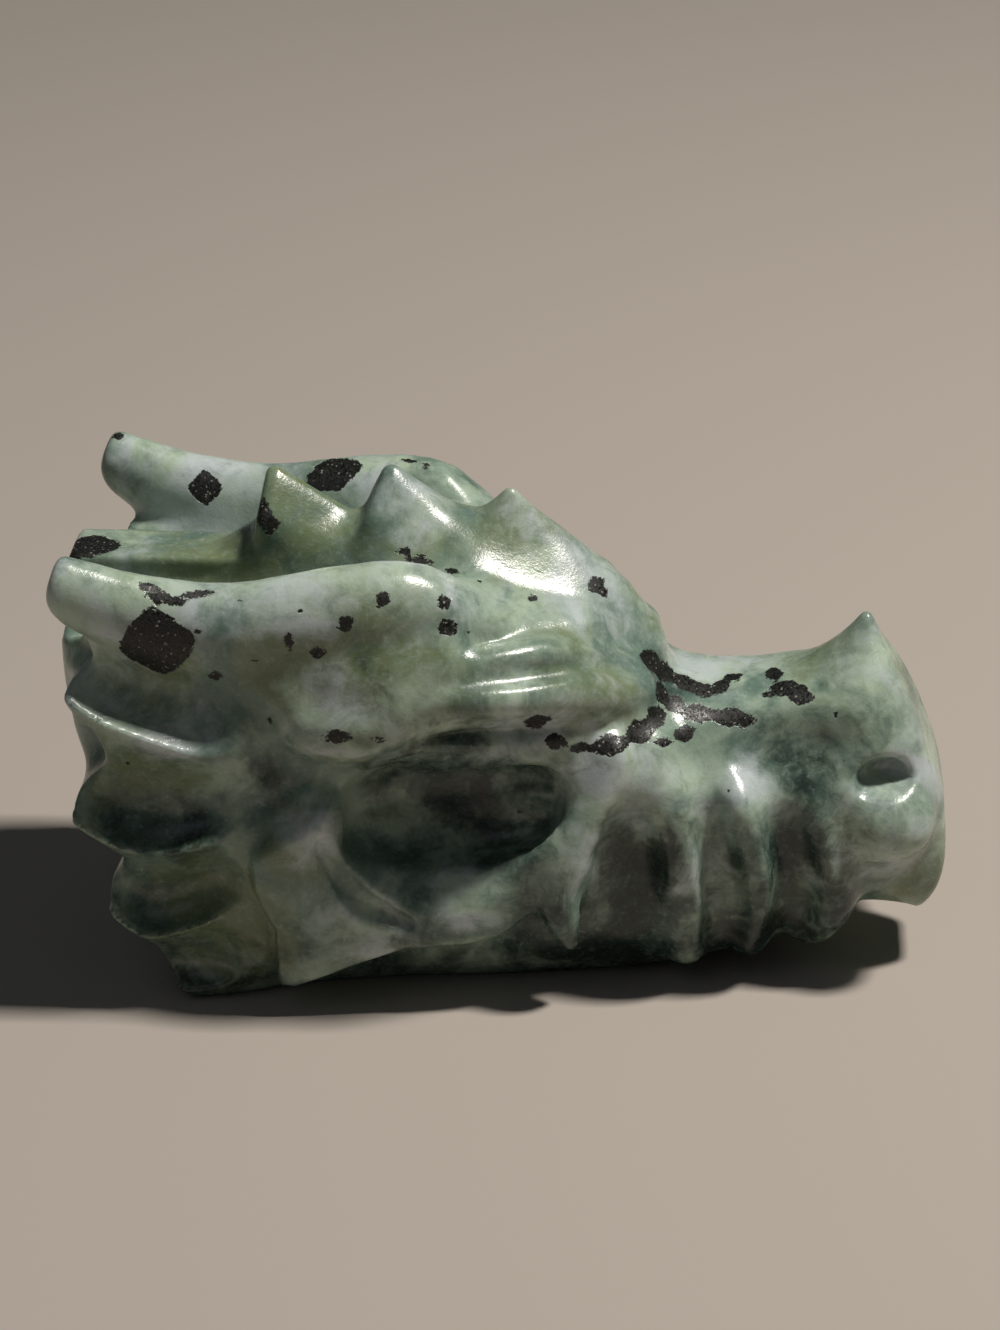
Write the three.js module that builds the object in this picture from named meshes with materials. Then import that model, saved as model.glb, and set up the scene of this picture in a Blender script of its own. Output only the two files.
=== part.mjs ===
// Dragon head carved from one piece of jasper, with the snout along +X and its flat underside at z = 0.
// The carving is drawn in units of a fiftieth of its length, as a distance to the stone's surface:
// below nought inside the stone, above nought outside. Forms are joined to it and cut out of it in
// the order that a carver would take, and the surface is then laid with facets.
import * as THREE from "three";

// Driving dimensions, in millimetres and degrees.
const LENGTH = 50; // nape to nose
const FACET = 0.62; // side of the cells that find the surface
const FACET_LIMIT = 9400; // triangles on the finished stone

// Proportions of the carving, as shares of a fiftieth of the length.
const SPIKE_RISE = 29.25; // where the faces of the tall spikes meet, above the underside
const HORN_SWELL = 2.6; // radius of a horn at its thickest
const BAR_HALF_WIDTH = 2.05; // nape bar, from the middle to its edge
const BAR_TOP = 23.75;
const FLUTE_DEPTH = 2.2; // hollows between the crests of the nape frill
const FOLD_RADIUS = 1.4; // rolls of skin along the snout
const NOSTRIL = [2.1, 3.1, 1.8]; // half length, depth and height of the egg shape that cuts it

const { clamp, degToRad } = THREE.MathUtils;

// Blended join, cut and overlap of two distances.
function join(a, b, blend) {
  const share = clamp(0.5 + (0.5 * (b - a)) / blend, 0, 1);
  return b + (a - b) * share - blend * share * (1 - share);
}
const cut = (a, b, blend) => -join(-a, b, blend);
const meet = (a, b, blend) => -join(-a, -b, blend);

// Smooth curve through the values at the stations, flat beyond its ends.
function curve(stations, values) {
  const last = stations.length - 1;
  const slopes = values.map((value, i) => {
    if (i === 0) return (values[1] - value) / (stations[1] - stations[0]);
    if (i === last) return (value - values[i - 1]) / (stations[i] - stations[i - 1]);
    const before = stations[i] - stations[i - 1];
    const after = stations[i + 1] - stations[i];
    const rise = ((values[i + 1] - value) * before) / after;
    const fall = ((value - values[i - 1]) * after) / before;
    return (rise + fall) / (before + after);
  });
  return (at) => {
    const place = clamp(at, stations[0], stations[last]);
    let i = 0;
    while (i < last - 1 && place >= stations[i + 1]) i += 1;
    const step = stations[i + 1] - stations[i];
    const t = (place - stations[i]) / step;
    return (
      (1 + 2 * t) * (1 - t) ** 2 * values[i] +
      t * (1 - t) ** 2 * step * slopes[i] +
      t * t * (3 - 2 * t) * values[i + 1] +
      t * t * (t - 1) * step * slopes[i + 1]
    );
  };
}

// Roll of stone along a smooth path. Each row is x, y, z and the radius there.
function roll(rows, flat = [1, 1, 1]) {
  const parts = 3;
  const places = rows.map((_, i) => i);
  const columns = [0, 1, 2, 3].map((c) => curve(places, rows.map((row) => row[c])));
  const path = [];
  for (let i = 0; i <= (rows.length - 1) * parts; i += 1) {
    const [x, y, z, radius] = columns.map((column) => column(i / parts));
    path.push([x / flat[0], y / flat[1], z / flat[2], radius]);
  }
  const least = Math.min(...flat);
  return (px, py, pz) => {
    const x = px / flat[0];
    const y = py / flat[1];
    const z = pz / flat[2];
    let nearest = Infinity;
    for (let i = 1; i < path.length; i += 1) {
      const [ax, ay, az, ar] = path[i - 1];
      const [bx, by, bz, br] = path[i];
      const [dx, dy, dz] = [bx - ax, by - ay, bz - az];
      const along = (x - ax) * dx + (y - ay) * dy + (z - az) * dz;
      const t = clamp(along / (dx * dx + dy * dy + dz * dz), 0, 1);
      const gap = Math.sqrt((x - ax - t * dx) ** 2 + (y - ay - t * dy) ** 2 + (z - az - t * dz) ** 2);
      nearest = Math.min(nearest, gap - ar - t * (br - ar));
    }
    return nearest * least;
  };
}

// Egg shape. The turn, in degrees, lifts its front end.
function egg([cx, cy, cz], [rx, ry, rz], turn = 0) {
  const cos = Math.cos(degToRad(turn));
  const sin = Math.sin(degToRad(turn));
  return (x, y, z) => {
    const ex = (x - cx) * cos + (z - cz) * sin;
    const ey = y - cy;
    const ez = -(x - cx) * sin + (z - cz) * cos;
    const reach = Math.sqrt((ex / rx) ** 2 + (ey / ry) ** 2 + (ez / rz) ** 2);
    const steepness = Math.sqrt((ex / rx ** 2) ** 2 + (ey / ry ** 2) ** 2 + (ez / rz ** 2) ** 2);
    return (reach * (reach - 1)) / Math.max(steepness, 1e-6);
  };
}

// Block of the head, from the nape to the nose: rounded sections, fuller at the nape.
function headBlock() {
  const stations = [-26, -20, -15, -10, -5, 0, 3.5, 6, 8, 9.6, 11.5, 14.5, 18, 21, 23.5, 25.8];
  const tops = [22.4, 22.2, 22.4, 23.4, 24.2, 24.6, 23.4, 21.4, 19.2, 17.4, 16.9, 17, 17.6, 17.4, 15.6, 11];
  const lows = [-1.5, -1.5, -1.5, -1.5, -1.5, -1.5, -1.5, -1.2, -0.9, -0.6, -0.2, 0.6, 2, 3.4, 2.9, 2.2];
  const halfWidths = [12.3, 12.3, 11.6, 10.1, 9.4, 9, 8.4, 8, 7.6, 7.3, 7, 6.5, 5.9, 5.2, 4.1, 2.3];
  const squareness = curve([-20, -15, -10, -5, 0, 3.5], [4.2, 4, 3.4, 3, 2.8, 2.6]);
  const top = curve(stations, tops);
  const low = curve(stations, lows);
  const wide = curve(stations, halfWidths);
  return (x, side, z) => {
    const middle = (top(x) + low(x)) / 2;
    const tall = (top(x) - low(x)) / 2;
    const n = squareness(x);
    const rim = ((side / wide(x)) ** n + (Math.abs(z - middle) / tall) ** n) ** (1 / n);
    return (rim - 1) * Math.min(wide(x), tall);
  };
}

// Side of the nape: hollow flutes between crests that run forward from the rear edge.
function napeWall() {
  const crests = [
    curve([-24, -20, -12], [24, 23.2, 23]),
    curve([-23.2, -21.4, -18.4, -15.6, -12.4], [19.3, 18.1, 16.9, 16.1, 16.5]),
    curve([-23, -21, -18.4, -15.5, -13], [12, 10.6, 10, 10.6, 11.4]),
    curve([-21.2, -19.3, -17.4, -15, -12.9], [6.2, 4.6, 4.9, 6, 7.2]),
    curve([-19.5, -17.5, -15.5, -13], [1.8, 0.9, 0.8, 1.6]),
    () => -4,
  ];
  const shares = [0.85, 1, 1, 0.85, 0.6];
  const depth = curve([-22, -18, -14.6, -12.8], [1, 0.95, 0.77, 0].map((share) => share * FLUTE_DEPTH));
  const wall = curve([0, 4, 9, 16, 20, 23], [10.6, 11.3, 11.7, 12, 11.4, 10.4]);
  return (x, side, z) => {
    let hollow = 0;
    shares.forEach((share, i) => {
      const low = crests[i + 1](x);
      const t = clamp((z - low) / (crests[i](x) - low), 0, 1) ** 0.65;
      hollow += share * (1 - (2 * t - 1) ** 2);
    });
    const release = 3 * clamp((x + 13.4) / 2, 0, 1) ** 2;
    return side - (wall(z) + release - hollow * depth(x));
  };
}

// Spike on the crown: a ridge in front, a sloping face on each side and a steep back.
function spike(tipX, tipZ, frontSlope, sideSlope, sideHeading, backSlope) {
  const faces = [[0, frontSlope], [sideHeading, sideSlope], [180, backSlope]];
  return (x, middle, z) => {
    const planes = faces.map(([heading, slope]) => {
      const out = (x - tipX) * Math.cos(degToRad(heading)) + middle * Math.sin(degToRad(heading));
      return (out * slope + z - tipZ) / Math.hypot(1, slope);
    });
    const point = meet(meet(planes[0], planes[1], 0.9), planes[2], 0.9);
    const foot = Math.hypot(x - tipX - 1.2, middle) - 4;
    return meet(meet(point, 22.5 - z, 0.5), foot, 1);
  };
}

// Flat-topped bar along the middle of the nape.
function napeBar(x, middle, z) {
  const section = meet(middle - BAR_HALF_WIDTH, z - BAR_TOP, 0.25);
  return Math.max(section, x + 12, 18 - z);
}

// Rear of the head: near upright above, falling in below, its rim notched where the flutes run out.
function rearFace() {
  const middleX = curve(
    [-1, 2, 4, 7, 10, 12, 14, 16.6, 22, 25.5],
    [-15.6, -17.8, -19.2, -20.5, -21.6, -22.6, -23.5, -24, -24.2, -24.2],
  );
  const rimX = curve(
    [-1, 1.3, 3.6, 5.2, 6.9, 8.8, 11.6, 12.6, 14.8, 16.6, 19.2, 20.6, 22.4, 24.2, 27.5],
    [-16, -17.9, -19.3, -20.8, -21.2, -20.4, -22.9, -22.8, -21.2, -21.5, -23.1, -21.8, -22.9, -23.9, -23.2],
  );
  return (x, side, z) => {
    const t = clamp((side - 5) / 3.5, 0, 1);
    return THREE.MathUtils.lerp(middleX(z), rimX(z), t * t * (3 - 2 * t)) - x;
  };
}

// Cheek plate below the eye, proud of the jaw, with a point at its rear lower corner.
function cheekPlate() {
  const corners = [
    [-13.1, 9.6], [-12.8, 7.8], [-11.6, 5.4], [-11.5, 2], [-10.6, 2], [-8, 3], [-4.6, 4.2], [-1.5, 4.3],
    [0.6, 4.6], [2.7, 6.1], [4, 8], [6.2, 13], [4, 16.5], [-5.5, 16.5], [-7.4, 13.8], [-9.2, 12.6],
    [-11.6, 10.9],
  ];
  const face = curve([-14, -11, -6, 0, 3, 6], [12, 11.8, 11.2, 10.2, 9.2, 8]);
  return (x, side, z) => {
    let nearest = Infinity;
    let inside = false;
    corners.forEach(([ax, az], i) => {
      const [bx, bz] = corners[(i + 1) % corners.length];
      const [ex, ez] = [bx - ax, bz - az];
      const t = clamp(((x - ax) * ex + (z - az) * ez) / (ex * ex + ez * ez), 0, 1);
      nearest = Math.min(nearest, Math.hypot(x - ax - t * ex, z - az - t * ez));
      if (az > z !== bz > z && x < ax + ((z - az) / ez) * ex) inside = !inside;
    });
    return meet((inside ? -nearest : nearest) - 0.2, side - face(x), 0.7);
  };
}

// Front of the nose, seen from the side, and the hollow under its beak.
function noseFront() {
  const front = curve(
    [-1, 3.1, 4.9, 7.8, 10.5, 12.9, 15.2, 17.4, 19.4, 21.5],
    [23.2, 24.5, 25.35, 25.6, 25.3, 24.6, 23.7, 22.7, 21.6, 21],
  );
  return (x, side, z) => x - front(z);
}
const beakHollow = (x, side, z) => Math.hypot(x - 22.3, z - 1.4) - 2.3;

// Forms on the middle line take the true distance from it, so that their ridges stay sharp.
const onMiddle = (form) => (x, side, z, middle) => form(x, middle, z);

// Every form of the carving, in order: what is done, the form, and how softly it blends.
const horn = (share) => share * HORN_SWELL;
const fold = (share) => share * FOLD_RADIUS;
const carving = [
  [meet, napeWall(), 0.4],
  // Crown ridge with its three spikes. The front one is a round thorn.
  [join, onMiddle(roll([
    [-13.5, 0, 22.4, 2.6], [-6, 0, 23, 2.9], [0, 0, 22.9, 3], [4.3, 0, 20.8, 2.9], [7, 0, 18.4, 2.4],
  ])), 1.5],
  [join, onMiddle(spike(-13, SPIKE_RISE, 0.6, 1.35, 62, 6)), 0.9],
  [join, onMiddle(spike(-6.3, SPIKE_RISE + 0.25, 0.85, 1.45, 75, 2.6)), 0.9],
  [join, onMiddle(roll([
    [0.75, 0, SPIKE_RISE - 1.95, 0.7], [0.8, 0, SPIKE_RISE - 2.55, 1.05], [0.9, 0, SPIKE_RISE - 3.35, 1.5],
    [1.2, 0, SPIKE_RISE - 4.65, 2.2], [1.4, 0, 22.5, 3.1],
  ])), 1.5],
  // Valleys beside the nape bar, the bar, and the horns that lie back along the head.
  [cut, roll([
    [-27, 5.2, 23.9, 2.9], [-16, 5, 24.1, 2.8], [-11, 4.8, 25.2, 2.3], [-6, 4.6, 26.6, 1.9],
    [-1, 4.2, 27.8, 1.4], [2, 4, 28.2, 1],
  ], [1, 1, 1.25]), 0.8],
  [join, onMiddle(napeBar), 0.6],
  [join, roll([
    [5.4, 4, 20.9, horn(0.35)], [2.4, 5.5, 21.9, horn(0.62)], [-1.4, 6.9, 22.8, horn(0.85)],
    [-5, 7.9, 23.2, horn(1)], [-9, 8.5, 22.9, horn(1)], [-14, 9, 22.4, horn(0.9)],
    [-19, 9.3, 23.3, horn(0.77)], [-23.1, 9.6, 24.8, horn(0.635)],
  ], [1, 0.9, 1.15]), 1.4],
  // Brow: an eave over the eye, the groove above it, and two ridges on it.
  [join, roll([
    [-11.6, 9.3, 19.4, 1.5], [-9.6, 9.7, 17.6, 2.1], [-7, 9.9, 17.6, 2.2], [-3.4, 9.8, 18.8, 1.8],
    [0.4, 9.2, 19.1, 1.7], [3.4, 7.9, 18.8, 1.7], [6, 5.9, 17.9, 1.6], [7.6, 4.4, 17.6, 1.4],
  ]), 0.7],
  [cut, roll([
    [-12.5, 12.6, 21.2, 0.5], [-8.5, 12.5, 21, 0.8], [-4, 11.9, 21.7, 0.9], [0, 10.8, 23.4, 1.1],
    [3.6, 8.6, 23.5, 1.2], [6, 6.4, 22.7, 1],
  ]), 1],
  [join, roll([
    [-4.6, 9.5, 20.3, 0.6], [-2.6, 9.6, 20.6, 0.9], [0.2, 9.1, 20.8, 1.1], [2.8, 7.6, 20.7, 1.2],
    [5, 5.3, 19.8, 1.1], [6.6, 4, 18.8, 1.1], [7.6, 3.2, 17.6, 0.9],
  ]), 0.6],
  [join, roll([
    [-3.4, 10.8, 19.3, 0.6], [-0.4, 10.7, 19.4, 0.9], [2.4, 9.6, 19.2, 1], [4.8, 7.9, 18.6, 1],
    [6.6, 6, 17.8, 0.9],
  ]), 0.5],
  [cut, roll([
    [-3.8, 11.2, 20.8, 0.3], [-0.6, 11, 21, 0.6], [2, 10.1, 20.9, 0.6], [4.2, 8.7, 20.6, 0.4],
    [5.6, 7.7, 20.2, 0.1],
  ]), 0.5],
  [join, cheekPlate(), 0.35],
  // Eye: a hollow below the brow, its socket, the ball, the crevice below it and the rim in front.
  [cut, egg([-1.5, 12.9, 11.6], [7.4, 5, 5.4], 4), 0.8],
  [cut, egg([-1.6, 10.4, 12.4], [7.2, 3.2, 3.6], 3), 0.5],
  [join, egg([-1.8, 5.7, 14.2], [7.4, 3.3, 3.2], 3), 1],
  [cut, roll([
    [-7.2, 9.6, 10.6, 0.9], [-4.6, 8.7, 10.2, 1.5], [-1.4, 8.1, 10.2, 1.9], [1.6, 8, 10.6, 1.6],
    [3.6, 8.3, 11.4, 0.9],
  ]), 0.6],
  [join, roll([
    [6.8, 7.2, 14.6, 1.5], [6.2, 7.7, 12.4, 1.5], [5, 8.4, 10, 1.3], [4, 9.1, 7.6, 1.1],
    [4.1, 9.2, 5.6, 1], [4.6, 9.1, 3.9, 0.4],
  ]), 1],
  // Cheek: its boss, the crease below it, the hollow under the brow, and the groove behind.
  [join, egg([-10.1, 9.9, 11.4], [2.1, 1.8, 2.3]), 0.8],
  [cut, roll([
    [-8.9, 11.8, 10.6, 0.6], [-7.9, 11.5, 8.6, 0.8], [-6.6, 11.2, 6.9, 0.8], [-4.5, 11, 5.8, 0.5],
  ]), 0.3],
  [cut, roll([
    [-13.8, 12.3, 14.2, 1.4], [-12.3, 12, 12.9, 1.8], [-10.4, 11.6, 13.9, 1.6], [-8.6, 11.6, 14.2, 1.2],
    [-7.4, 12, 12.6, 0.8],
  ]), 0.9],
  [cut, egg([-13.5, 11.9, 3.3], [1.6, 1.6, 1.2]), 0.5],
  [cut, roll([
    [-13, 12.2, 15.2, 1], [-13.9, 12.1, 11, 1.1], [-14.3, 12.1, 7, 1.2], [-13.4, 12.1, 3.4, 1.2],
    [-12.6, 11.6, -1, 1.2],
  ]), 0.7],
  [meet, rearFace(), 0.45],
  // Snout: rolls of skin, the grooves between them, and a trough below the bridge.
  [join, roll([
    [9.7, 6.1, 14.2, fold(0.93)], [10.2, 6.5, 11.4, fold(1.21)], [11, 6.5, 8.2, fold(1.29)],
    [11.6, 6.1, 4.8, fold(1.14)], [11, 5.9, 2.4, fold(0.79)],
  ]), 1.2],
  [join, roll([
    [13.6, 6, 13.4, fold(0.79)], [14.1, 6.2, 11.2, fold(0.93)], [14.8, 6.2, 8.4, fold(1)],
    [15.4, 5.6, 5.4, fold(1)], [14.7, 4.8, 2.6, fold(0.79)],
  ]), 1.2],
  [join, roll([
    [18.2, 5.2, 10, fold(0.5)], [18.7, 5.3, 7.6, fold(0.86)], [19, 4.7, 5, fold(1.07)],
    [18.2, 3.6, 3.2, fold(1.07)],
  ]), 1.2],
  [cut, roll([[8.1, 9.4, 12.6, 0.8], [8.1, 9.5, 9.4, 1.8], [8.2, 9.1, 6, 1.5], [7.8, 8.7, 2.6, 1]]), 0.9],
  [cut, roll([[12, 7.9, 13.8, 0.6], [12.3, 8, 10.9, 0.8], [12.9, 7.8, 7.4, 0.9], [13.2, 7.1, 3, 1]]), 0.9],
  [cut, roll([[16.1, 7.2, 13.4, 0.7], [16.6, 7.2, 10.2, 1.1], [17.2, 6.9, 6.8, 1.2], [16.7, 5.9, 2.4, 1.1]]), 0.9],
  [cut, roll([[9.6, 8.2, 15.5, 0.9], [13, 7.3, 15, 1.7], [17, 6.5, 14.7, 1.9], [20.2, 5.9, 14.8, 1.3]]), 1.2],
  // Nose: its horn, the wing of the nostril and the nostril.
  [join, onMiddle(roll([
    [20.7, 0, 20.25, 0.5], [20.7, 0, 19.5, 0.95], [20.7, 0, 18.2, 1.75], [20.8, 0, 16.6, 2.7],
    [21, 0, 14.8, 3.5], [21.4, 0, 12, 4.5],
  ])), 1.8],
  [cut, egg([22.1, 6.3, 12.4], NOSTRIL, -6), 0.3],
  [join, egg([22, 3.9, 10.1], [2.4, 2.3, 2.3]), 0.9],
  [meet, noseFront(), 0.6],
  [cut, beakHollow, 0.4],
];

const block = headBlock();
function stone(x, y, z) {
  const middle = Math.abs(y);
  const side = Math.sqrt(y * y + 0.05);
  const carved = carving.reduce(
    (distance, [work, form, blend]) => work(distance, form(x, side, z, middle), blend),
    block(x, side, z),
  );
  return Math.max(carved, -z);
}

// Distances on a grid around the stone. The two halves are alike, so only one is worked out.
function sample() {
  const low = [-27, 0, -1];
  const high = [27.5, 14.5, SPIKE_RISE + 1.5];
  const half = Math.ceil(high[1] / FACET);
  const count = [
    Math.ceil((high[0] - low[0]) / FACET),
    2 * half,
    Math.ceil((high[2] - low[2]) / FACET),
  ];
  low[1] = (0.5 - half) * FACET;
  const at = (i, j, k) => (i * count[1] + j) * count[2] + k;
  const values = new Float64Array(count[0] * count[1] * count[2]);
  for (let i = 0; i < count[0]; i += 1) {
    for (let j = half; j < count[1]; j += 1) {
      for (let k = 0; k < count[2]; k += 1) {
        const value = stone(low[0] + i * FACET, low[1] + j * FACET, low[2] + k * FACET);
        values[at(i, j, k)] = value;
        values[at(i, count[1] - 1 - j, k)] = value;
      }
    }
  }
  return { low, count, at, values };
}

// Fills cells where two sheets of the surface would touch, so that the stone stays one closed body.
function closeTouches({ count, at, values }) {
  const [nx, ny, nz] = count;
  const fill = (n) => {
    values[n] = Math.min(values[n], -1e-3);
  };
  let changed = true;
  while (changed) {
    changed = false;
    for (let i = 0; i < nx - 1; i += 1) {
      for (let j = 0; j < ny - 1; j += 1) {
        for (let k = 0; k < nz - 1; k += 1) {
          const corner = (a, b, c) => at(i + a, j + b, k + c);
          const faces = [
            [corner(0, 0, 0), corner(1, 0, 0), corner(1, 1, 0), corner(0, 1, 0)],
            [corner(0, 0, 0), corner(1, 0, 0), corner(1, 0, 1), corner(0, 0, 1)],
            [corner(0, 0, 0), corner(0, 1, 0), corner(0, 1, 1), corner(0, 0, 1)],
          ];
          const diagonals = [
            [corner(0, 0, 0), corner(1, 1, 1)],
            [corner(1, 0, 0), corner(0, 1, 1)],
            [corner(0, 1, 0), corner(1, 0, 1)],
            [corner(0, 0, 1), corner(1, 1, 0)],
          ];
          const inside = (n) => values[n] < 0;
          faces.forEach(([a, b, c, d]) => {
            if (inside(a) === inside(c) && inside(b) === inside(d) && inside(a) !== inside(b)) {
              [a, b, c, d].forEach(fill);
              changed = true;
            }
          });
          const corners = diagonals.flat();
          const held = corners.filter(inside).length;
          if (held === 2 || held === 6) {
            diagonals.forEach(([a, b]) => {
              const alike = inside(a) === inside(b);
              const odd = held === 2 ? inside(a) : !inside(a);
              if (alike && odd) {
                corners.forEach(fill);
                changed = true;
              }
            });
          }
        }
      }
    }
  }
}

// Direction in which the distance grows fastest.
function uphill(x, y, z) {
  const h = 0.02;
  const gradient = new THREE.Vector3(
    stone(x + h, y, z) - stone(x - h, y, z),
    stone(x, y + h, z) - stone(x, y - h, z),
    stone(x, y, z + h) - stone(x, y, z - h),
  );
  return gradient.normalize();
}

// Point that lies best on all the planes of a cell, kept inside the cell.
function bestPoint(planes, lowCorner) {
  const centre = new THREE.Vector3();
  planes.forEach(({ point }) => centre.addScaledVector(point, 1 / planes.length));
  const ease = 0.04 * planes.length;
  let [xx, xy, xz, yy, yz, zz] = [ease, 0, 0, ease, 0, ease];
  const pull = new THREE.Vector3();
  planes.forEach(({ point, normal }) => {
    const { x, y, z } = normal;
    xx += x * x;
    xy += x * y;
    xz += x * z;
    yy += y * y;
    yz += y * z;
    zz += z * z;
    pull.addScaledVector(normal, point.clone().sub(centre).dot(normal));
  });
  const solve = new THREE.Matrix3().set(xx, xy, xz, xy, yy, yz, xz, yz, zz).invert();
  const found = pull.applyMatrix3(solve).add(centre);
  const highCorner = lowCorner.clone().addScalar(FACET);
  return found.clamp(lowCorner, highCorner);
}

// One vertex in every cell that the surface crosses, and two triangles for every crossed edge.
function laySurface({ low, count, at, values }) {
  const cells = new Map();
  const edges = [];
  const steps = [[1, 0, 0], [0, 1, 0], [0, 0, 1]];
  for (let i = 0; i < count[0] - 1; i += 1) {
    for (let j = 0; j < count[1] - 1; j += 1) {
      for (let k = 0; k < count[2] - 1; k += 1) {
        steps.forEach((step, axis) => {
          const here = values[at(i, j, k)];
          const there = values[at(i + step[0], j + step[1], k + step[2])];
          if (here < 0 === there < 0) return;
          const start = [i, j, k].map((n, c) => low[c] + n * FACET);
          const place = (t) => start.map((value, c) => value + step[c] * t * FACET);
          let [t0, t1, f0, f1] = [0, 1, here, there];
          let t = here / (here - there);
          for (let round = 0; round < 4; round += 1) {
            const f = stone(...place(t));
            if (f < 0 === f0 < 0) [t0, f0] = [t, f];
            else [t1, f1] = [t, f];
            t = clamp(t0 + ((t1 - t0) * f0) / (f0 - f1), 0, 1);
          }
          const point = new THREE.Vector3(...place(t));
          const plane = { point, normal: uphill(point.x, point.y, point.z) };
          const around = [[0, 0], [1, 0], [1, 1], [0, 1]].map(([a, b]) => {
            const cell = [i, j, k];
            cell[(axis + 1) % 3] -= a;
            cell[(axis + 2) % 3] -= b;
            return at(...cell);
          });
          around.forEach((cell) => {
            if (!cells.has(cell)) cells.set(cell, []);
            cells.get(cell).push(plane);
          });
          edges.push(here < 0 ? around : around.reverse());
        });
      }
    }
  }
  const points = [];
  const index = new Map();
  cells.forEach((planes, cell) => {
    const k = cell % count[2];
    const j = Math.floor(cell / count[2]) % count[1];
    const i = Math.floor(cell / count[2] / count[1]);
    const corner = new THREE.Vector3(...[i, j, k].map((n, c) => low[c] + n * FACET));
    index.set(cell, points.length);
    points.push(bestPoint(planes, corner));
  });
  const triangles = [];
  edges.forEach((around) => {
    const [a, b, c, d] = around.map((cell) => index.get(cell));
    const straight = points[a].distanceTo(points[c]) <= points[b].distanceTo(points[d]);
    if (straight) triangles.push([a, b, c], [a, c, d]);
    else triangles.push([a, b, d], [b, c, d]);
  });
  return { points, triangles };
}

// Sum of squared distances to planes, held as the ten numbers of a symmetric matrix.
function planeError(normal, offset, weight) {
  const { x, y, z } = normal;
  const w = offset;
  return [x * x, x * y, x * z, x * w, y * y, y * z, y * w, z * z, z * w, w * w].map((n) => n * weight);
}
function errorAt(q, { x, y, z }) {
  return (
    q[0] * x * x + 2 * q[1] * x * y + 2 * q[2] * x * z + 2 * q[3] * x +
    q[4] * y * y + 2 * q[5] * y * z + 2 * q[6] * y + q[7] * z * z + 2 * q[8] * z + q[9]
  );
}

// Merges the edges whose loss shows least, until the stone has the wanted number of triangles.
function mergeFlatFacets(points, triangles, wanted) {
  const errors = points.map(() => new Array(10).fill(0));
  const faces = points.map(() => new Set());
  const alive = triangles.map(() => true);
  const stamp = points.map(() => 0);
  let left = triangles.length;
  triangles.forEach((triangle, t) => {
    const [a, b, c] = triangle.map((n) => points[n]);
    const normal = new THREE.Vector3().crossVectors(b.clone().sub(a), c.clone().sub(a));
    const area = normal.length() / 2;
    normal.normalize();
    const error = planeError(normal, -normal.dot(a), area + 1e-4);
    triangle.forEach((n) => {
      faces[n].add(t);
      error.forEach((value, i) => {
        errors[n][i] += value;
      });
    });
  });
  const neighbours = (n) => {
    const found = new Set();
    faces[n].forEach((t) => triangles[t].forEach((m) => found.add(m)));
    found.delete(n);
    return found;
  };
  const proposal = (a, b) => {
    const q = errors[a].map((value, i) => value + errors[b][i]);
    const middle = points[a].clone().add(points[b]).multiplyScalar(0.5);
    const size = q[0] + q[4] + q[7];
    const hold = 1e-3 * size;
    const matrix = new THREE.Matrix3().set(
      q[0] + hold, q[1], q[2], q[1], q[4] + hold, q[5], q[2], q[5], q[7] + hold,
    );
    const target = new THREE.Vector3(
      hold * middle.x - q[3], hold * middle.y - q[6], hold * middle.z - q[8],
    ).applyMatrix3(matrix.invert());
    if (target.distanceTo(middle) > 2 * points[a].distanceTo(points[b])) target.copy(middle);
    const length = points[a].distanceToSquared(points[b]);
    return { a, b, target, cost: errorAt(q, target) + 1e-5 * length, stamps: [stamp[a], stamp[b]] };
  };
  const heap = [];
  const push = (item) => {
    heap.push(item);
    let n = heap.length - 1;
    while (n > 0) {
      const up = (n - 1) >> 1;
      if (heap[up].cost <= heap[n].cost) break;
      [heap[up], heap[n]] = [heap[n], heap[up]];
      n = up;
    }
  };
  const pop = () => {
    const first = heap[0];
    const last = heap.pop();
    if (heap.length > 0) {
      heap[0] = last;
      let n = 0;
      for (;;) {
        let least = n;
        [2 * n + 1, 2 * n + 2].forEach((child) => {
          if (child < heap.length && heap[child].cost < heap[least].cost) least = child;
        });
        if (least === n) break;
        [heap[least], heap[n]] = [heap[n], heap[least]];
        n = least;
      }
    }
    return first;
  };
  const turnsOver = (n, other, target) =>
    [...faces[n]].some((t) => {
      if (triangles[t].includes(other)) return false;
      const [a, b, c] = triangles[t].map((m) => points[m]);
      const [p, q, r] = triangles[t].map((m) => (m === n ? target : points[m]));
      const before = new THREE.Vector3().crossVectors(b.clone().sub(a), c.clone().sub(a));
      const after = new THREE.Vector3().crossVectors(q.clone().sub(p), r.clone().sub(p));
      const size = after.length();
      const longest = Math.max(p.distanceTo(q), q.distanceTo(r), r.distanceTo(p));
      return size < 0.04 * longest * longest || before.normalize().dot(after) < 0.35 * size;
    });
  points.forEach((_, a) => neighbours(a).forEach((b) => a < b && push(proposal(a, b))));
  while (left > wanted && heap.length > 0) {
    const { a, b, target, stamps } = pop();
    if (stamps[0] !== stamp[a] || stamps[1] !== stamp[b]) continue;
    const nearB = neighbours(b);
    const shared = [...neighbours(a)].filter((n) => nearB.has(n));
    if (shared.length !== 2 || turnsOver(a, b, target) || turnsOver(b, a, target)) continue;
    points[a].copy(target);
    faces[b].forEach((t) => {
      if (triangles[t].includes(a)) {
        alive[t] = false;
        left -= 1;
        triangles[t].forEach((n) => faces[n].delete(t));
      } else {
        triangles[t] = triangles[t].map((n) => (n === b ? a : n));
        faces[a].add(t);
      }
    });
    errors[a] = errors[a].map((value, i) => value + errors[b][i]);
    stamp[b] = -1;
    stamp[a] += 1;
    const around = neighbours(a);
    around.forEach((n) => push(proposal(Math.min(a, n), Math.max(a, n))));
  }
  return triangles.filter((_, t) => alive[t]);
}

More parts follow.
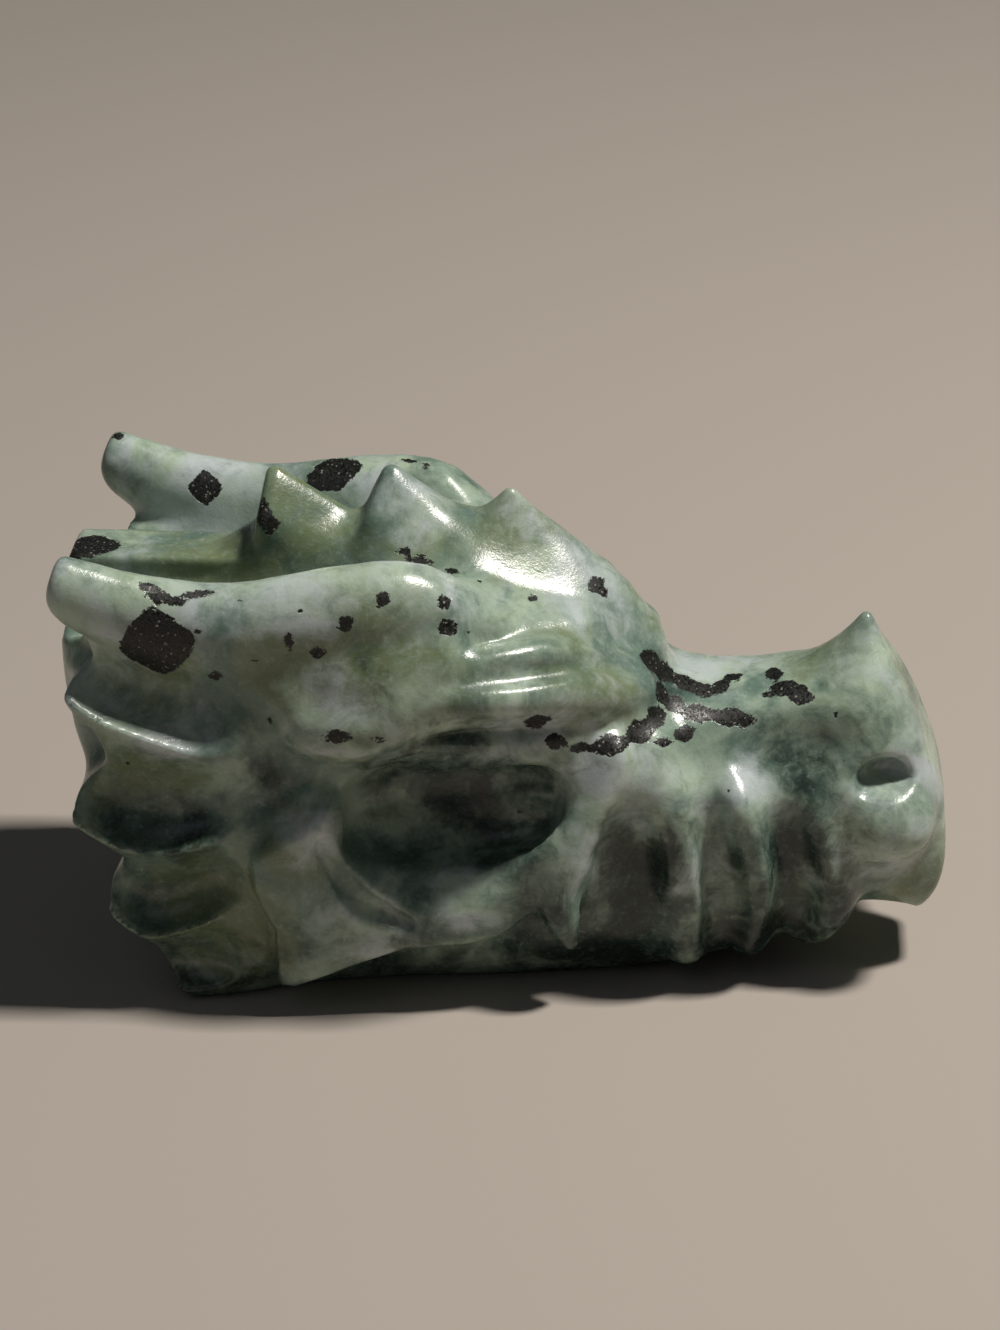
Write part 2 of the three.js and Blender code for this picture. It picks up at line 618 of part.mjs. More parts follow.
// The stone at its real size, centred over its underside.
function dragonHead() {
  const grid = sample();
  closeTouches(grid);
  const { points, triangles } = laySurface(grid);
  const kept = mergeFlatFacets(points, triangles, FACET_LIMIT);
  const used = new Map();
  kept.flat().forEach((n) => used.has(n) || used.set(n, used.size));
  const box = new THREE.Box3();
  used.forEach((_, n) => {
    if (points[n].z < 0.03) points[n].z = 0;
    box.expandByPoint(points[n]);
  });
  const scale = LENGTH / (box.max.x - box.min.x);
  const centre = box.getCenter(new THREE.Vector3()).setZ(0);
  const positions = new Float32Array(used.size * 3);
  used.forEach((place, n) => {
    points[n].clone().sub(centre).multiplyScalar(scale).toArray(positions, place * 3);
  });
  const geometry = new THREE.BufferGeometry();
  geometry.setAttribute("position", new THREE.BufferAttribute(positions, 3));
  geometry.setIndex(kept.flat().map((n) => used.get(n)));
  geometry.computeVertexNormals();
  return geometry;
}

const jasper = new THREE.MeshStandardMaterial({ color: "#7d8a76", roughness: 0.3, metalness: 0 });
const head = new THREE.Mesh(dragonHead(), jasper);
head.name = "dragon_head";

const carvedHead = new THREE.Group();
carvedHead.add(head);
export default carvedHead;
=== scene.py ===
# %% [markdown]
# # A dragon's head in green jasper
#
# The real object is a dragon's head about 50 mm long, ground and polished from one lump of jasper. It is
# mottled sage green, olive and milky grey, with grainy black crystals through it. This file makes the stone
# as one fine mesh, gives it a procedural material and lights it on a pale floor.
#
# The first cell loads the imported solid, which fixes the size and place of everything that follows.

import bpy
import numpy as np
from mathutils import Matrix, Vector
from mathutils.bvhtree import BVHTree


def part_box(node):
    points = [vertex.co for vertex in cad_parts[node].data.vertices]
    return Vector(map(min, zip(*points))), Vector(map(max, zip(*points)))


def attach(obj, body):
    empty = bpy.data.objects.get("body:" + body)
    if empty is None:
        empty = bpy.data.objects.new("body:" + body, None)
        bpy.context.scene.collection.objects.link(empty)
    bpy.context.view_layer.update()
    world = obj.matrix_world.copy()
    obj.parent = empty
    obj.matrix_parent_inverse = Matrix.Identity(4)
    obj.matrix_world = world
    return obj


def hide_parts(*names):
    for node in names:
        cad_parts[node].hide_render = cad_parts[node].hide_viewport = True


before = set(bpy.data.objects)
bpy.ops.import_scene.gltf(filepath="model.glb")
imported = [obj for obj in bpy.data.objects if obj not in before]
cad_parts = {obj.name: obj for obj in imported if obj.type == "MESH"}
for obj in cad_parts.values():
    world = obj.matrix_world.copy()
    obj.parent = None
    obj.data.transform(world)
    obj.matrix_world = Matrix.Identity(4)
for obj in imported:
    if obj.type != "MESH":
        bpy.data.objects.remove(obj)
MM = 0.001
solid_low, solid_high = (np.array(corner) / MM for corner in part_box("dragon_head"))
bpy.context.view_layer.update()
print("solid, mm:", solid_low.round(2), solid_high.round(2))

# %% [markdown]
# ## One unit for the carving
#
# The carving is drawn in units of about a millimetre, with the same proportions as the solid: x from the
# nape to the nose, y to the dragon's left and z up from the floor. The drawn head is a little shorter than
# the solid, so one factor turns drawn units into millimetres, and one shift centres it. The forms below are
# distances to the surface of the stone: below nought inside it, above nought outside.

# %% Drawn units
DRAWN_REAR = -24.21
DRAWN_NOSE = 25.61
DRAWN_MIDDLE = (DRAWN_REAR + DRAWN_NOSE) / 2
UNIT = (solid_high[0] - solid_low[0]) / (DRAWN_NOSE - DRAWN_REAR)
print("millimetres to a drawn unit:", round(UNIT, 4))

# %% [markdown]
# ## The camera
#
# The photograph looks at the dragon's right side, 24 degrees down and 4 degrees round towards the nose,
# from close by. At the middle of the head a millimetre covers 17.5 pixels of the 1000 by 1330 frame, and
# that fixes the lens. The camera's own axes are kept, because the black crystals are placed with them.

# %% The camera
AZIMUTH = np.radians(4)
ELEVATION = np.radians(24)
CAMERA_DISTANCE = 240.0
PIXELS_PER_MM = 17.5
FRAME_PIXELS = np.array([1000.0, 1330.0])
SENSOR = 36.0
LOOK_AT = np.array([-DRAWN_MIDDLE * UNIT, 0.0, 16.8 * UNIT])

to_camera = np.array([
    np.sin(AZIMUTH) * np.cos(ELEVATION),
    -np.cos(AZIMUTH) * np.cos(ELEVATION),
    np.sin(ELEVATION),
])
camera_right = np.array([np.cos(AZIMUTH), np.sin(AZIMUTH), 0.0])
camera_up = np.cross(to_camera, camera_right)
camera_place = LOOK_AT + to_camera * CAMERA_DISTANCE

camera = bpy.data.objects.new("camera", bpy.data.cameras.new("camera"))
camera.data.sensor_width = SENSOR
camera.data.lens = SENSOR * PIXELS_PER_MM * CAMERA_DISTANCE / FRAME_PIXELS[1]
camera.data.clip_start = 10 * MM
camera.data.clip_end = 10000 * MM
camera.location = camera_place * MM
camera.rotation_mode = "QUATERNION"
camera.rotation_quaternion = Vector(-to_camera).to_track_quat("-Z", "Y")
bpy.context.collection.objects.link(camera)
bpy.context.scene.camera = camera
print("lens, mm:", round(camera.data.lens, 1))

# %% [markdown]
# ## How to carve with distances
#
# A grid surface of two parameters suits a vase or a tube. This head has horns that leave the skull, a brow
# that overhangs the eye and folds that run into one another, and no single sheet can be wrapped round all of
# that without tears. So it is made the way that a carver works: start from a block, join rolls of stone to
# it, cut hollows out of it, and let each cut blend softly into what is there. Three small formulas do that
# for distances held in whole numpy arrays, and a fourth draws a smooth curve through a few given values. The
# last number in each join, cut or meet is the width of the blend: small where an edge is crisp.

# %% Blended join, cut and overlap, and a smooth curve


def join(a, b, blend):
    """The nearer of two distances, less a parabola where they differ by under the blend."""
    share = np.clip(0.5 + 0.5 * (b - a) / blend, 0.0, 1.0)
    return b + (a - b) * share - blend * share * (1.0 - share)


def cut(a, b, blend):
    """Form a without form b: the join of the outsides, turned inside out."""
    return -join(-a, b, blend)


def meet(a, b, blend):
    """Only what is inside both forms."""
    return -join(-a, -b, blend)


def curve(at, stations, values):
    """Cubic Hermite curve through the values at the stations, with slopes from both neighbours."""
    stations = np.asarray(stations, float)
    values = np.asarray(values, float)
    slopes = np.gradient(values, stations)
    at = np.clip(at, stations[0], stations[-1])
    i = np.clip(np.searchsorted(stations, at, side="right") - 1, 0, len(stations) - 2)
    step = stations[i + 1] - stations[i]
    t = (at - stations[i]) / step
    start = (1 + 2 * t) * (1 - t) ** 2 * values[i] + t * (1 - t) ** 2 * step * slopes[i]
    end = t * t * (3 - 2 * t) * values[i + 1] + t * t * (t - 1) * step * slopes[i + 1]
    return start + end


# %% [markdown]
# Two shapes do most of the work. A roll is a tube whose radius changes along a smooth path, for horns,
# brows, lids and folds, and also for the grooves that are cut. Its rows are places along the path, each with
# x, y, z and the radius there. An egg is a stretched sphere, for the eye, the nostrils and the cheek, given
# by its centre and its three half sizes.

# %% Rolls and eggs
TINY = 1e-6


def roll(place, rows, flat=(1.0, 1.0, 1.0), parts=3):
    """Distance to the path through the rows of x, y, z and radius, less the radius there."""
    rows = np.asarray(rows, float)
    fine = np.linspace(0, len(rows) - 1, (len(rows) - 1) * parts + 1)
    path = np.stack([curve(fine, np.arange(len(rows)), column) for column in rows.T], 1)
    path[:, :3] /= flat
    x, y, z = (along / stretch for along, stretch in zip(place, flat))
    nearest = np.inf
    for a, b in zip(path[:-1], path[1:]):
        step = b[:3] - a[:3]
        reach = (x - a[0]) * step[0] + (y - a[1]) * step[1] + (z - a[2]) * step[2]
        t = np.clip(reach / (step @ step), 0, 1)
        gap = (x - a[0] - t * step[0]) ** 2 + (y - a[1] - t * step[1]) ** 2 + (z - a[2] - t * step[2]) ** 2
        nearest = np.minimum(nearest, np.sqrt(gap) - a[3] - t * (b[3] - a[3]))
    return nearest * min(flat)


def egg(place, centre, radii, turn=0.0):
    """Scaled distance from the centre, less one, over how fast it grows. The turn lifts the front."""
    x, y, z = (along - middle for along, middle in zip(place, centre))
    cos, sin = np.cos(np.radians(turn)), np.sin(np.radians(turn))
    x, z = x * cos + z * sin, z * cos - x * sin
    reach = np.sqrt((x / radii[0]) ** 2 + (y / radii[1]) ** 2 + (z / radii[2]) ** 2)
    growth = np.sqrt((x / radii[0] ** 2) ** 2 + (y / radii[1] ** 2) ** 2 + (z / radii[2] ** 2) ** 2)
    return reach * (reach - 1.0) / np.maximum(growth, TINY)


# %% [markdown]
# ## The block and the nape
#
# The block is a loft: at each place along the head the section is a rounded rectangle, squarer at the nape.
# The sides of the nape carry the frill: crests run forward from the rear edge, with a hollow flute between
# each two, deepest nearer its lower crest. In front of the frill the nape's wall is let go, so that the
# narrower block shows.

# %% The block
FLUTE_SHARES = [0.85, 1.0, 1.0, 0.85, 0.6]
FLUTE_SKEW = 0.65
WALL_ENDS = -13.4
WALL_FADES_OVER = 2.0
WALL_LETS_GO_BY = 3.0
RIM_STARTS = 5.0
RIM_GROWS_OVER = 3.5


def head_block(x, side, z):
    """Rounded sections: the n-th root of the n-th powers of the two offsets over their half sizes."""
    stations = [-26, -20, -15, -10, -5, 0, 3.5, 6, 8, 9.6, 11.5, 14.5, 18, 21, 23.5, 25.8]
    top = curve(x, stations, [
        22.4, 22.2, 22.4, 23.4, 24.2, 24.6, 23.4, 21.4, 19.2, 17.4, 16.9, 17.0, 17.6, 17.4, 15.6, 11.0])
    low = curve(x, stations, [
        -1.5, -1.5, -1.5, -1.5, -1.5, -1.5, -1.5, -1.2, -0.9, -0.6, -0.2, 0.6, 2.0, 3.4, 2.9, 2.2])
    wide = curve(x, stations, [
        12.3, 12.3, 11.6, 10.1, 9.4, 9.0, 8.4, 8.0, 7.6, 7.3, 7.0, 6.5, 5.9, 5.2, 4.1, 2.3])
    n = curve(x, [-20, -15, -10, -5, 0, 3.5], [4.2, 4.0, 3.4, 3.0, 2.8, 2.6])
    middle, tall = (top + low) / 2, (top - low) / 2
    rim = ((side / wide) ** n + (np.abs(z - middle) / tall) ** n) ** (1 / n)
    return (rim - 1) * np.minimum(wide, tall)


def nape_wall(x, side, z):
    """Sideways distance to the wall, which dips by one less a power of the place between two crests."""
    crests = [
        curve(x, [-24, -20, -12], [24, 23.2, 23]),
        curve(x, [-23.2, -21.4, -18.4, -15.6, -12.4], [19.3, 18.1, 16.9, 16.1, 16.5]),
        curve(x, [-23, -21, -18.4, -15.5, -13], [12, 10.6, 10, 10.6, 11.4]),
        curve(x, [-21.2, -19.3, -17.4, -15, -12.9], [6.2, 4.6, 4.9, 6.0, 7.2]),
        curve(x, [-19.5, -17.5, -15.5, -13], [1.8, 0.9, 0.8, 1.6]),
        np.full(np.shape(x), -4.0),
    ]
    hollow = 0.0
    for upper, lower, share in zip(crests[:-1], crests[1:], FLUTE_SHARES):
        t = np.clip((z - lower) / (upper - lower), 0, 1) ** FLUTE_SKEW
        hollow = hollow + share * (1 - np.abs(2 * t - 1) ** 2)
    depth = curve(x, [-22, -18, -14.6, -12.8], [2.2, 2.1, 1.7, 0.0])
    wall = curve(z, [0, 4, 9, 16, 20, 23], [10.6, 11.3, 11.7, 12.0, 11.4, 10.4])
    release = WALL_LETS_GO_BY * np.clip((x - WALL_ENDS) / WALL_FADES_OVER, 0, 1) ** 2
    return side - (wall + release - hollow * depth)


def rear_face(x, side, z):
    """Distance behind the rear: a smooth middle, and a rim notched where the flutes run out."""
    middle = curve(
        z, [-1, 2, 4, 7, 10, 12, 14, 16.6, 22, 25.5],
        [-15.6, -17.8, -19.2, -20.5, -21.6, -22.6, -23.5, -24.0, -24.2, -24.2])
    rim = curve(
        z, [-1, 1.3, 3.6, 5.2, 6.9, 8.8, 11.6, 12.6, 14.8, 16.6, 19.2, 20.6, 22.4, 24.2, 27.5],
        [-16, -17.9, -19.3, -20.8, -21.2, -20.4, -22.9, -22.8, -21.2, -21.5, -23.1, -21.8, -22.9, -23.9,
         -23.2])
    t = np.clip((side - RIM_STARTS) / RIM_GROWS_OVER, 0, 1)
    return middle + (rim - middle) * t * t * (3 - 2 * t) - x


# %% [markdown]
# ## Spikes, bar and horns
#
# Two spikes on the crown are small tents: a sharp ridge falls to the front, a flat face slopes to each side
# and the back is steep. The planes meet in a point. The third, in front, is a low blunt thorn. Behind the
# last spike a flat-topped bar runs to the rear, between two smooth horns that lie back along the head.

# %% The crown
SPIKE_EDGE = 0.9
SPIKE_BASE = 22.5
SPIKE_FOOT_RADIUS = 4.0
SPIKE_FOOT_AHEAD = 1.2
BAR_HALF_WIDTH = 2.05
BAR_TOP = 23.75
BAR_BASE = 18
BAR_FRONT = -12
BAR_EDGE = 0.25


def spike(x, middle, z, tip_x, tip_z, front_slope, side_slope, side_heading, back_slope):
    """The part of space below three sloping planes through the tip, within a round foot."""
    point = None
    for heading, slope in [(0, front_slope), (side_heading, side_slope), (180, back_slope)]:
        out = (x - tip_x) * np.cos(np.radians(heading)) + middle * np.sin(np.radians(heading))
        plane = (out * slope + z - tip_z) / np.hypot(1, slope)
        point = plane if point is None else meet(point, plane, SPIKE_EDGE)
    foot = np.hypot(x - tip_x - SPIKE_FOOT_AHEAD, middle) - SPIKE_FOOT_RADIUS
    return meet(meet(point, SPIKE_BASE - z, 0.5), foot, 1.0)


def nape_bar(x, middle, z):
    """A square-edged bar along the middle of the nape."""
    section = meet(middle - BAR_HALF_WIDTH, z - BAR_TOP, BAR_EDGE)
    return np.maximum(section, np.maximum(x - BAR_FRONT, BAR_BASE - z))


def carve_crown(d, x, side, middle, z):
    """The crown ridge, three spikes, the valleys, the bar, the horns and the slope of the forehead."""
    on_middle = (x, middle, z)
    beside = (x, side, z)
    d = join(d, roll(on_middle, [
        [-13.5, 0, 22.4, 2.6], [-6, 0, 23.0, 2.9], [0, 0, 22.9, 3.0], [4.3, 0, 20.8, 2.9], [7, 0, 18.4, 2.4],
    ]), 1.5)
    d = join(d, spike(x, middle, z, tip_x=-13.0, tip_z=29.25, front_slope=0.60, side_slope=1.35,
                      side_heading=62, back_slope=6.0), 0.9)
    d = join(d, spike(x, middle, z, tip_x=-6.3, tip_z=29.5, front_slope=0.85, side_slope=1.45,
                      side_heading=75, back_slope=2.6), 0.9)
    d = join(d, roll(on_middle, [
        [0.75, 0, 27.3, 0.7], [0.8, 0, 26.7, 1.05], [0.9, 0, 25.9, 1.5], [1.2, 0, 24.6, 2.2],
        [1.4, 0, 22.5, 3.1],
    ]), 1.5)
    d = cut(d, roll(beside, [
        [-27, 5.2, 23.9, 2.9], [-16, 5.0, 24.1, 2.8], [-11, 4.8, 25.2, 2.3], [-6, 4.6, 26.6, 1.9],
        [-1, 4.2, 27.8, 1.4], [2, 4.0, 28.2, 1.0],
    ], flat=(1, 1, 1.25)), 0.8)
    d = join(d, nape_bar(x, middle, z), 0.6)
    d = join(d, roll(beside, [
        [5.4, 4.0, 20.6, 0.9], [2.4, 5.4, 21.4, 1.6], [-1.4, 6.8, 22.5, 2.2], [-5, 7.9, 23.2, 2.6],
        [-9, 8.5, 22.9, 2.6], [-14, 9.0, 22.4, 2.35], [-19, 9.3, 23.3, 2.0], [-23.1, 9.6, 24.8, 1.65],
    ], flat=(1, 0.9, 1.15)), 1.4)
    return cut(d, egg(beside, (4.4, 7.4, 30.4), (8.2, 8.2, 8.2)), 1.3)


# %% [markdown]
# ## Brow, eye and cheek
#
# The brow hangs over the eye like an eave and ends in a heavy lobe behind it. Two thin ridges ride on its
# front half, where the polish catches the light. Below it the eye is a deep bowl under a thin upper lid, and
# the cheek is a plate that stands proud of the jaw and ends in a sharp lower corner.

# %% The brow


def carve_brow(d, beside):
    """An eave, the groove above it, a filling towards the horn, and two ridges with a groove between."""
    d = join(d, roll(beside, [
        [-11.6, 9.3, 19.4, 1.5], [-9.6, 9.7, 17.6, 2.1], [-7, 9.9, 17.6, 2.2], [-3.4, 9.8, 18.8, 1.8],
        [0.4, 9.2, 19.1, 1.7], [3.4, 7.9, 18.8, 1.7], [6, 5.9, 17.9, 1.6], [7.6, 4.4, 17.6, 1.4],
    ]), 0.7)
    d = cut(d, roll(beside, [
        [-4.5, 12.9, 22.4, 0.4], [-2, 12.0, 22.9, 0.8], [0.6, 10.8, 23.6, 1.1], [3.6, 8.6, 23.6, 1.2],
        [6, 6.4, 22.7, 1.0],
    ]), 1.0)
    d = join(d, roll(beside, [
        [-13.5, 8.6, 20.4, 1.2], [-10.5, 9.1, 20.0, 1.8], [-6.5, 9.4, 20.2, 2.0], [-2.5, 9.0, 20.8, 1.8],
    ]), 1.2)
    d = join(d, roll(beside, [
        [-4.6, 9.5, 20.3, 0.6], [-2.6, 9.6, 20.6, 0.9], [0.2, 9.1, 20.8, 1.1], [2.8, 7.6, 20.7, 1.2],
        [5, 5.3, 19.8, 1.1], [6.6, 4.0, 18.8, 1.1], [7.6, 3.2, 17.6, 0.9],
    ]), 0.6)
    d = join(d, roll(beside, [
        [-3.4, 10.8, 19.3, 0.6], [-0.4, 10.7, 19.4, 0.9], [2.4, 9.6, 19.2, 1.0], [4.8, 7.9, 18.6, 1.0],
        [6.6, 6.0, 17.8, 0.9],
    ]), 0.5)
    return cut(d, roll(beside, [
        [-3.4, 12.2, 20.8, 0.2], [-0.4, 11.2, 21.0, 0.5], [2.0, 10.1, 20.9, 0.6], [4.2, 8.7, 20.6, 0.4],
        [5.6, 7.7, 20.2, 0.1],
    ]), 0.5)


# %% The cheek plate
# The corners of its outline are x and z, from the rear round the bottom.
CHEEK_CORNERS = [
    (-13.1, 9.6), (-12.8, 7.8), (-11.6, 5.4), (-11.5, 2.0), (-10.6, 2.0), (-8.0, 3.0), (-4.6, 4.2),
    (-1.5, 4.3), (0.6, 4.6), (2.7, 6.1), (4.0, 8.0), (6.2, 13.0), (4.0, 16.5), (-5.5, 16.5),
    (-7.4, 13.8), (-9.2, 12.6), (-11.6, 10.9),
]
CHEEK_MARGIN = 0.2


def cheek_plate(x, side, z):
    """Distance to an outline in the side view, met with a face that follows the cheek."""
    nearest = np.inf
    inside = False
    for (ax, az), (bx, bz) in zip(CHEEK_CORNERS, CHEEK_CORNERS[1:] + CHEEK_CORNERS[:1]):
        ex, ez = bx - ax, bz - az
        t = np.clip(((x - ax) * ex + (z - az) * ez) / (ex * ex + ez * ez), 0, 1)
        nearest = np.minimum(nearest, np.hypot(x - ax - t * ex, z - az - t * ez))
        if ez:
            inside = inside ^ (((az > z) != (bz > z)) & (x < ax + (z - az) / ez * ex))
    face = curve(x, [-14, -11, -6, 0, 3, 6], [12.0, 11.8, 11.2, 10.2, 9.2, 8.0])
    return meet(np.where(inside, -nearest, nearest) - CHEEK_MARGIN, side - face, 0.7)


# %% The eye and the cheek


def carve_eye(d, beside):
    """A hollow below the brow, the eye's bowl, the lid over it, the lower crevice and the rim in front."""
    d = cut(d, egg(beside, (-1.5, 12.9, 11.6), (7.4, 5.0, 5.4), 4), 0.8)
    d = cut(d, egg(beside, (-1.6, 10.5, 12.0), (7.2, 4.8, 4.0), 3), 0.5)
    d = join(d, egg(beside, (-1.8, 7.4, 15.9), (7.4, 2.4, 1.9), 3), 1.0)
    d = join(d, egg(beside, (3.4, 6.8, 9.0), (2.8, 2.6, 3.2)), 1.6)
    d = cut(d, roll(beside, [
        [-7.2, 9.6, 10.6, 0.9], [-4.6, 8.7, 10.2, 1.5], [-1.4, 8.1, 10.2, 1.9], [1.6, 8.0, 10.6, 1.6],
        [3.6, 8.3, 11.4, 0.9],
    ]), 0.6)
    return join(d, roll(beside, [
        [6.8, 7.2, 14.6, 1.5], [6.2, 7.7, 12.4, 1.5], [5.0, 8.4, 10.0, 1.3], [4.0, 9.1, 7.6, 1.1],
        [4.1, 9.2, 5.6, 1.0], [4.6, 9.1, 3.9, 0.4],
    ]), 1.0)


def carve_cheek(d, beside):
    """The cheek's boss and crease, the ear, and the grooves that part the cheek from the nape."""
    d = join(d, egg(beside, (-10.1, 9.9, 11.4), (2.1, 1.8, 2.3)), 0.8)
    d = cut(d, roll(beside, [
        [-8.9, 11.8, 10.6, 0.6], [-7.9, 11.5, 8.6, 0.8], [-6.6, 11.2, 6.9, 0.8], [-4.5, 11.0, 5.8, 0.5],
    ]), 0.3)
    d = cut(d, roll(beside, [
        [-13.8, 12.3, 14.2, 1.4], [-12.3, 12.0, 12.9, 1.8], [-10.4, 11.6, 13.9, 1.6], [-8.6, 11.6, 14.2, 1.2],
        [-7.4, 12.0, 12.6, 0.8],
    ]), 0.9)
    d = cut(d, egg(beside, (-13.5, 11.9, 3.3), (1.6, 1.6, 1.2)), 0.5)
    return cut(d, roll(beside, [
        [-13, 12.2, 15.2, 1.0], [-13.9, 12.1, 11.0, 1.1], [-14.3, 12.1, 7.0, 1.2], [-13.4, 12.1, 3.4, 1.2],
        [-12.6, 11.6, -1, 1.2],
    ]), 0.7)


# %% [markdown]
# ## The snout
#
# Rolls of skin run down the sides of the snout and end in small lobes under the jaw, with grooves ground
# between them. A long trough parts them from the bridge. At the front a blunt horn rises from the nose, and
# the nose ends in a beak with a hollow below it.

# %% The snout


def carve_snout(d, beside):
    """Three rolls of skin, the grooves beside them, and a trough between them and the bridge."""
    for rows in [
        [[9.3, 6.1, 14.2, 1.4], [9.9, 6.4, 11.4, 2.0], [10.7, 6.3, 8.2, 2.2], [11.4, 6.0, 4.8, 1.8],
         [11.0, 5.9, 2.4, 1.1]],
        [[13.6, 6.0, 13.4, 1.1], [14.1, 6.2, 11.2, 1.3], [14.8, 6.2, 8.4, 1.4], [15.4, 5.6, 5.4, 1.4],
         [14.7, 4.8, 2.6, 1.1]],
        [[18.2, 5.2, 10.0, 0.7], [18.7, 5.3, 7.6, 1.2], [19.0, 4.7, 5.0, 1.5], [18.2, 3.6, 3.2, 1.5]],
    ]:
        d = join(d, roll(beside, rows), 1.2)
    for rows in [
        [[7.9, 9.3, 12.4, 0.8], [7.8, 9.0, 9.2, 1.9], [7.9, 8.7, 6.0, 1.6], [7.6, 8.5, 2.6, 1.0]],
        [[12.0, 7.9, 13.6, 0.6], [12.3, 7.7, 10.7, 0.9], [12.9, 7.5, 7.4, 1.1], [13.2, 7.0, 3.0, 1.1]],
        [[16.1, 7.1, 13.2, 0.7], [16.6, 6.9, 10.0, 1.2], [17.2, 6.6, 6.8, 1.3], [16.7, 5.8, 2.4, 1.2]],
    ]:
        d = cut(d, roll(beside, rows), 0.9)
    return cut(d, roll(beside, [
        [9.6, 8.2, 15.5, 0.9], [13, 7.3, 15.0, 1.8], [17, 6.5, 14.7, 2.1], [20.2, 5.9, 14.8, 1.4],
    ]), 1.8)


# %% The nose


def carve_nose(d, x, side, middle, z):
    """The nose horn, the wings of the nostrils, the nostrils, the front and the hollow of the beak."""
    beside = (x, side, z)
    d = join(d, roll((x, middle, z), [
        [20.7, 0, 20.25, 0.5], [20.7, 0, 19.5, 0.95], [20.7, 0, 18.2, 1.75], [20.8, 0, 16.6, 2.7],
        [21.0, 0, 14.8, 3.5], [21.4, 0, 12, 4.5],
    ]), 1.8)
    d = cut(d, egg(beside, (22.1, 6.3, 12.4), (2.1, 3.1, 1.8), -6), 0.3)
    d = join(d, egg(beside, (22.2, 4.3, 9.8), (2.6, 2.3, 2.3)), 1.5)
    front = curve(
        z, [-1, 3.1, 4.9, 7.8, 10.5, 12.9, 15.2, 17.4, 19.4, 21.5],
        [23.2, 24.5, 25.35, 25.6, 25.3, 24.6, 23.7, 22.7, 21.6, 21.0])
    d = meet(d, x - front, 0.6)
    return cut(d, np.hypot(x - 22.3, z - 1.4) - 2.3, 0.4)


# %% [markdown]
# ## The whole stone
#
# The forms are joined and cut in one order, on both halves at once, because the distance from the middle
# plane stands for y. That distance is rounded a little at the plane itself, so that the two halves meet
# without a crease. Hand grinding never leaves a true surface, so a faint waviness of a few hundredths of a
# millimetre is added later: it is what breaks up the highlights on the real stone.

# %% The stone as one distance
MIDDLE_ROUNDING = 0.05


def waviness(x, y, z):
    """Three crossed sine waves with wavelengths of 3 to 6 mm."""
    first = np.sin(1.35 * x + 0.8 * z + 1.1) * np.sin(1.15 * y - 0.7 * x + 0.4)
    second = np.sin(1.9 * z - 0.9 * y + 2.0) * np.sin(1.5 * x + 1.2 * y)
    third = np.sin(1.1 * (x + y) + 0.5) * np.sin(1.25 * (z - x) + 1.7)
    return (first + second + third) / 3.0


def stone(x, y, z):
    """Distance to the carved stone, with its flat underside at z = 0."""
    middle = np.abs(y)
    side = np.sqrt(y * y + MIDDLE_ROUNDING)
    beside = (x, side, z)
    d = meet(head_block(x, side, z), nape_wall(x, side, z), 0.4)
    d = carve_crown(d, x, side, middle, z)
    d = carve_brow(d, beside)
    d = join(d, cheek_plate(x, side, z), 0.35)
    d = carve_eye(d, beside)
    d = carve_cheek(d, beside)
    d = meet(d, rear_face(x, side, z), 0.45)
    d = carve_snout(d, beside)
    d = carve_nose(d, x, side, middle, z)
    return np.maximum(d, -z)


# %% [markdown]
# ## From distance to mesh
#
# The distance is worked out on a grid with cells of 0.28 units. Only one half is sampled, and the other is
# its mirror image. Every cell that the surface crosses gets one vertex, at the mean of its crossed edges, and
# every crossed edge gets one face between the four cells around it. Then each vertex slides along the
# distance's slope until it lies on the surface.

# %% Sampling
CELL = 0.28
HALF_CELLS = 52
GRID_X = (-27.0, 27.5)
GRID_Z = (-1.0, 31.0)
grid_x = np.arange(*GRID_X, CELL)
grid_y = (np.arange(-HALF_CELLS, HALF_CELLS) + 0.5) * CELL
grid_z = np.arange(*GRID_Z, CELL)
half = np.meshgrid(grid_x, grid_y[HALF_CELLS:], grid_z, indexing="ij")
distances = stone(*half)
distances = np.concatenate([distances[:, ::-1], distances], axis=1)
print("grid points:", distances.size)


# %% Laying the surface


def surface_net(values):
    """Vertices and four-cornered faces of the surface where the values change sign."""
    inside = values < 0
    cells = np.array(values.shape) - 1
    total = np.zeros((*cells, 3))
    count = np.zeros(cells, int)
    crossings = []
    for axis in range(3):
        ahead = [slice(None)] * 3
        behind = [slice(None)] * 3
        behind[axis] = slice(None, -1)
        ahead[axis] = slice(1, None)
        behind, ahead = tuple(behind), tuple(ahead)
        place = np.argwhere(inside[behind] != inside[ahead])
        here, there = values[behind][tuple(place.T)], values[ahead][tuple(place.T)]
        point = place.astype(float)
        point[:, axis] += here / (here - there)
        others = [(axis + 1) % 3, (axis + 2) % 3]
        around = []
        for step in [(0, 0), (1, 0), (1, 1), (0, 1)]:
            cell = place.copy()
            cell[:, others] -= step
            around.append(cell)
            np.add.at(total, tuple(cell.T), point)
            np.add.at(count, tuple(cell.T), 1)
        crossings.append((np.stack(around, 1), here < 0))
    used = count > 0
    number = np.full(cells, -1)
    number[used] = np.arange(used.sum())
    faces = []
    for around, outward in crossings:
        corners = number[tuple(np.moveaxis(around, 2, 0))]
        faces.append(np.where(outward[:, None], corners, corners[:, ::-1]))
    return total[used] / count[used][:, None], np.concatenate(faces)


points, faces = surface_net(distances)
points = points * CELL + [grid_x[0], grid_y[0], grid_z[0]]
print("vertices:", len(points), "triangles:", 2 * len(faces))

# %% Settling the vertices on the surface
STEP = 0.03
LONGEST_MOVE = 0.15
LEAST_STEEPNESS = 0.25
NEAR_UNDERSIDE = 0.04
RIPPLE = 0.035
RIPPLE_FADES_BELOW = 1.5


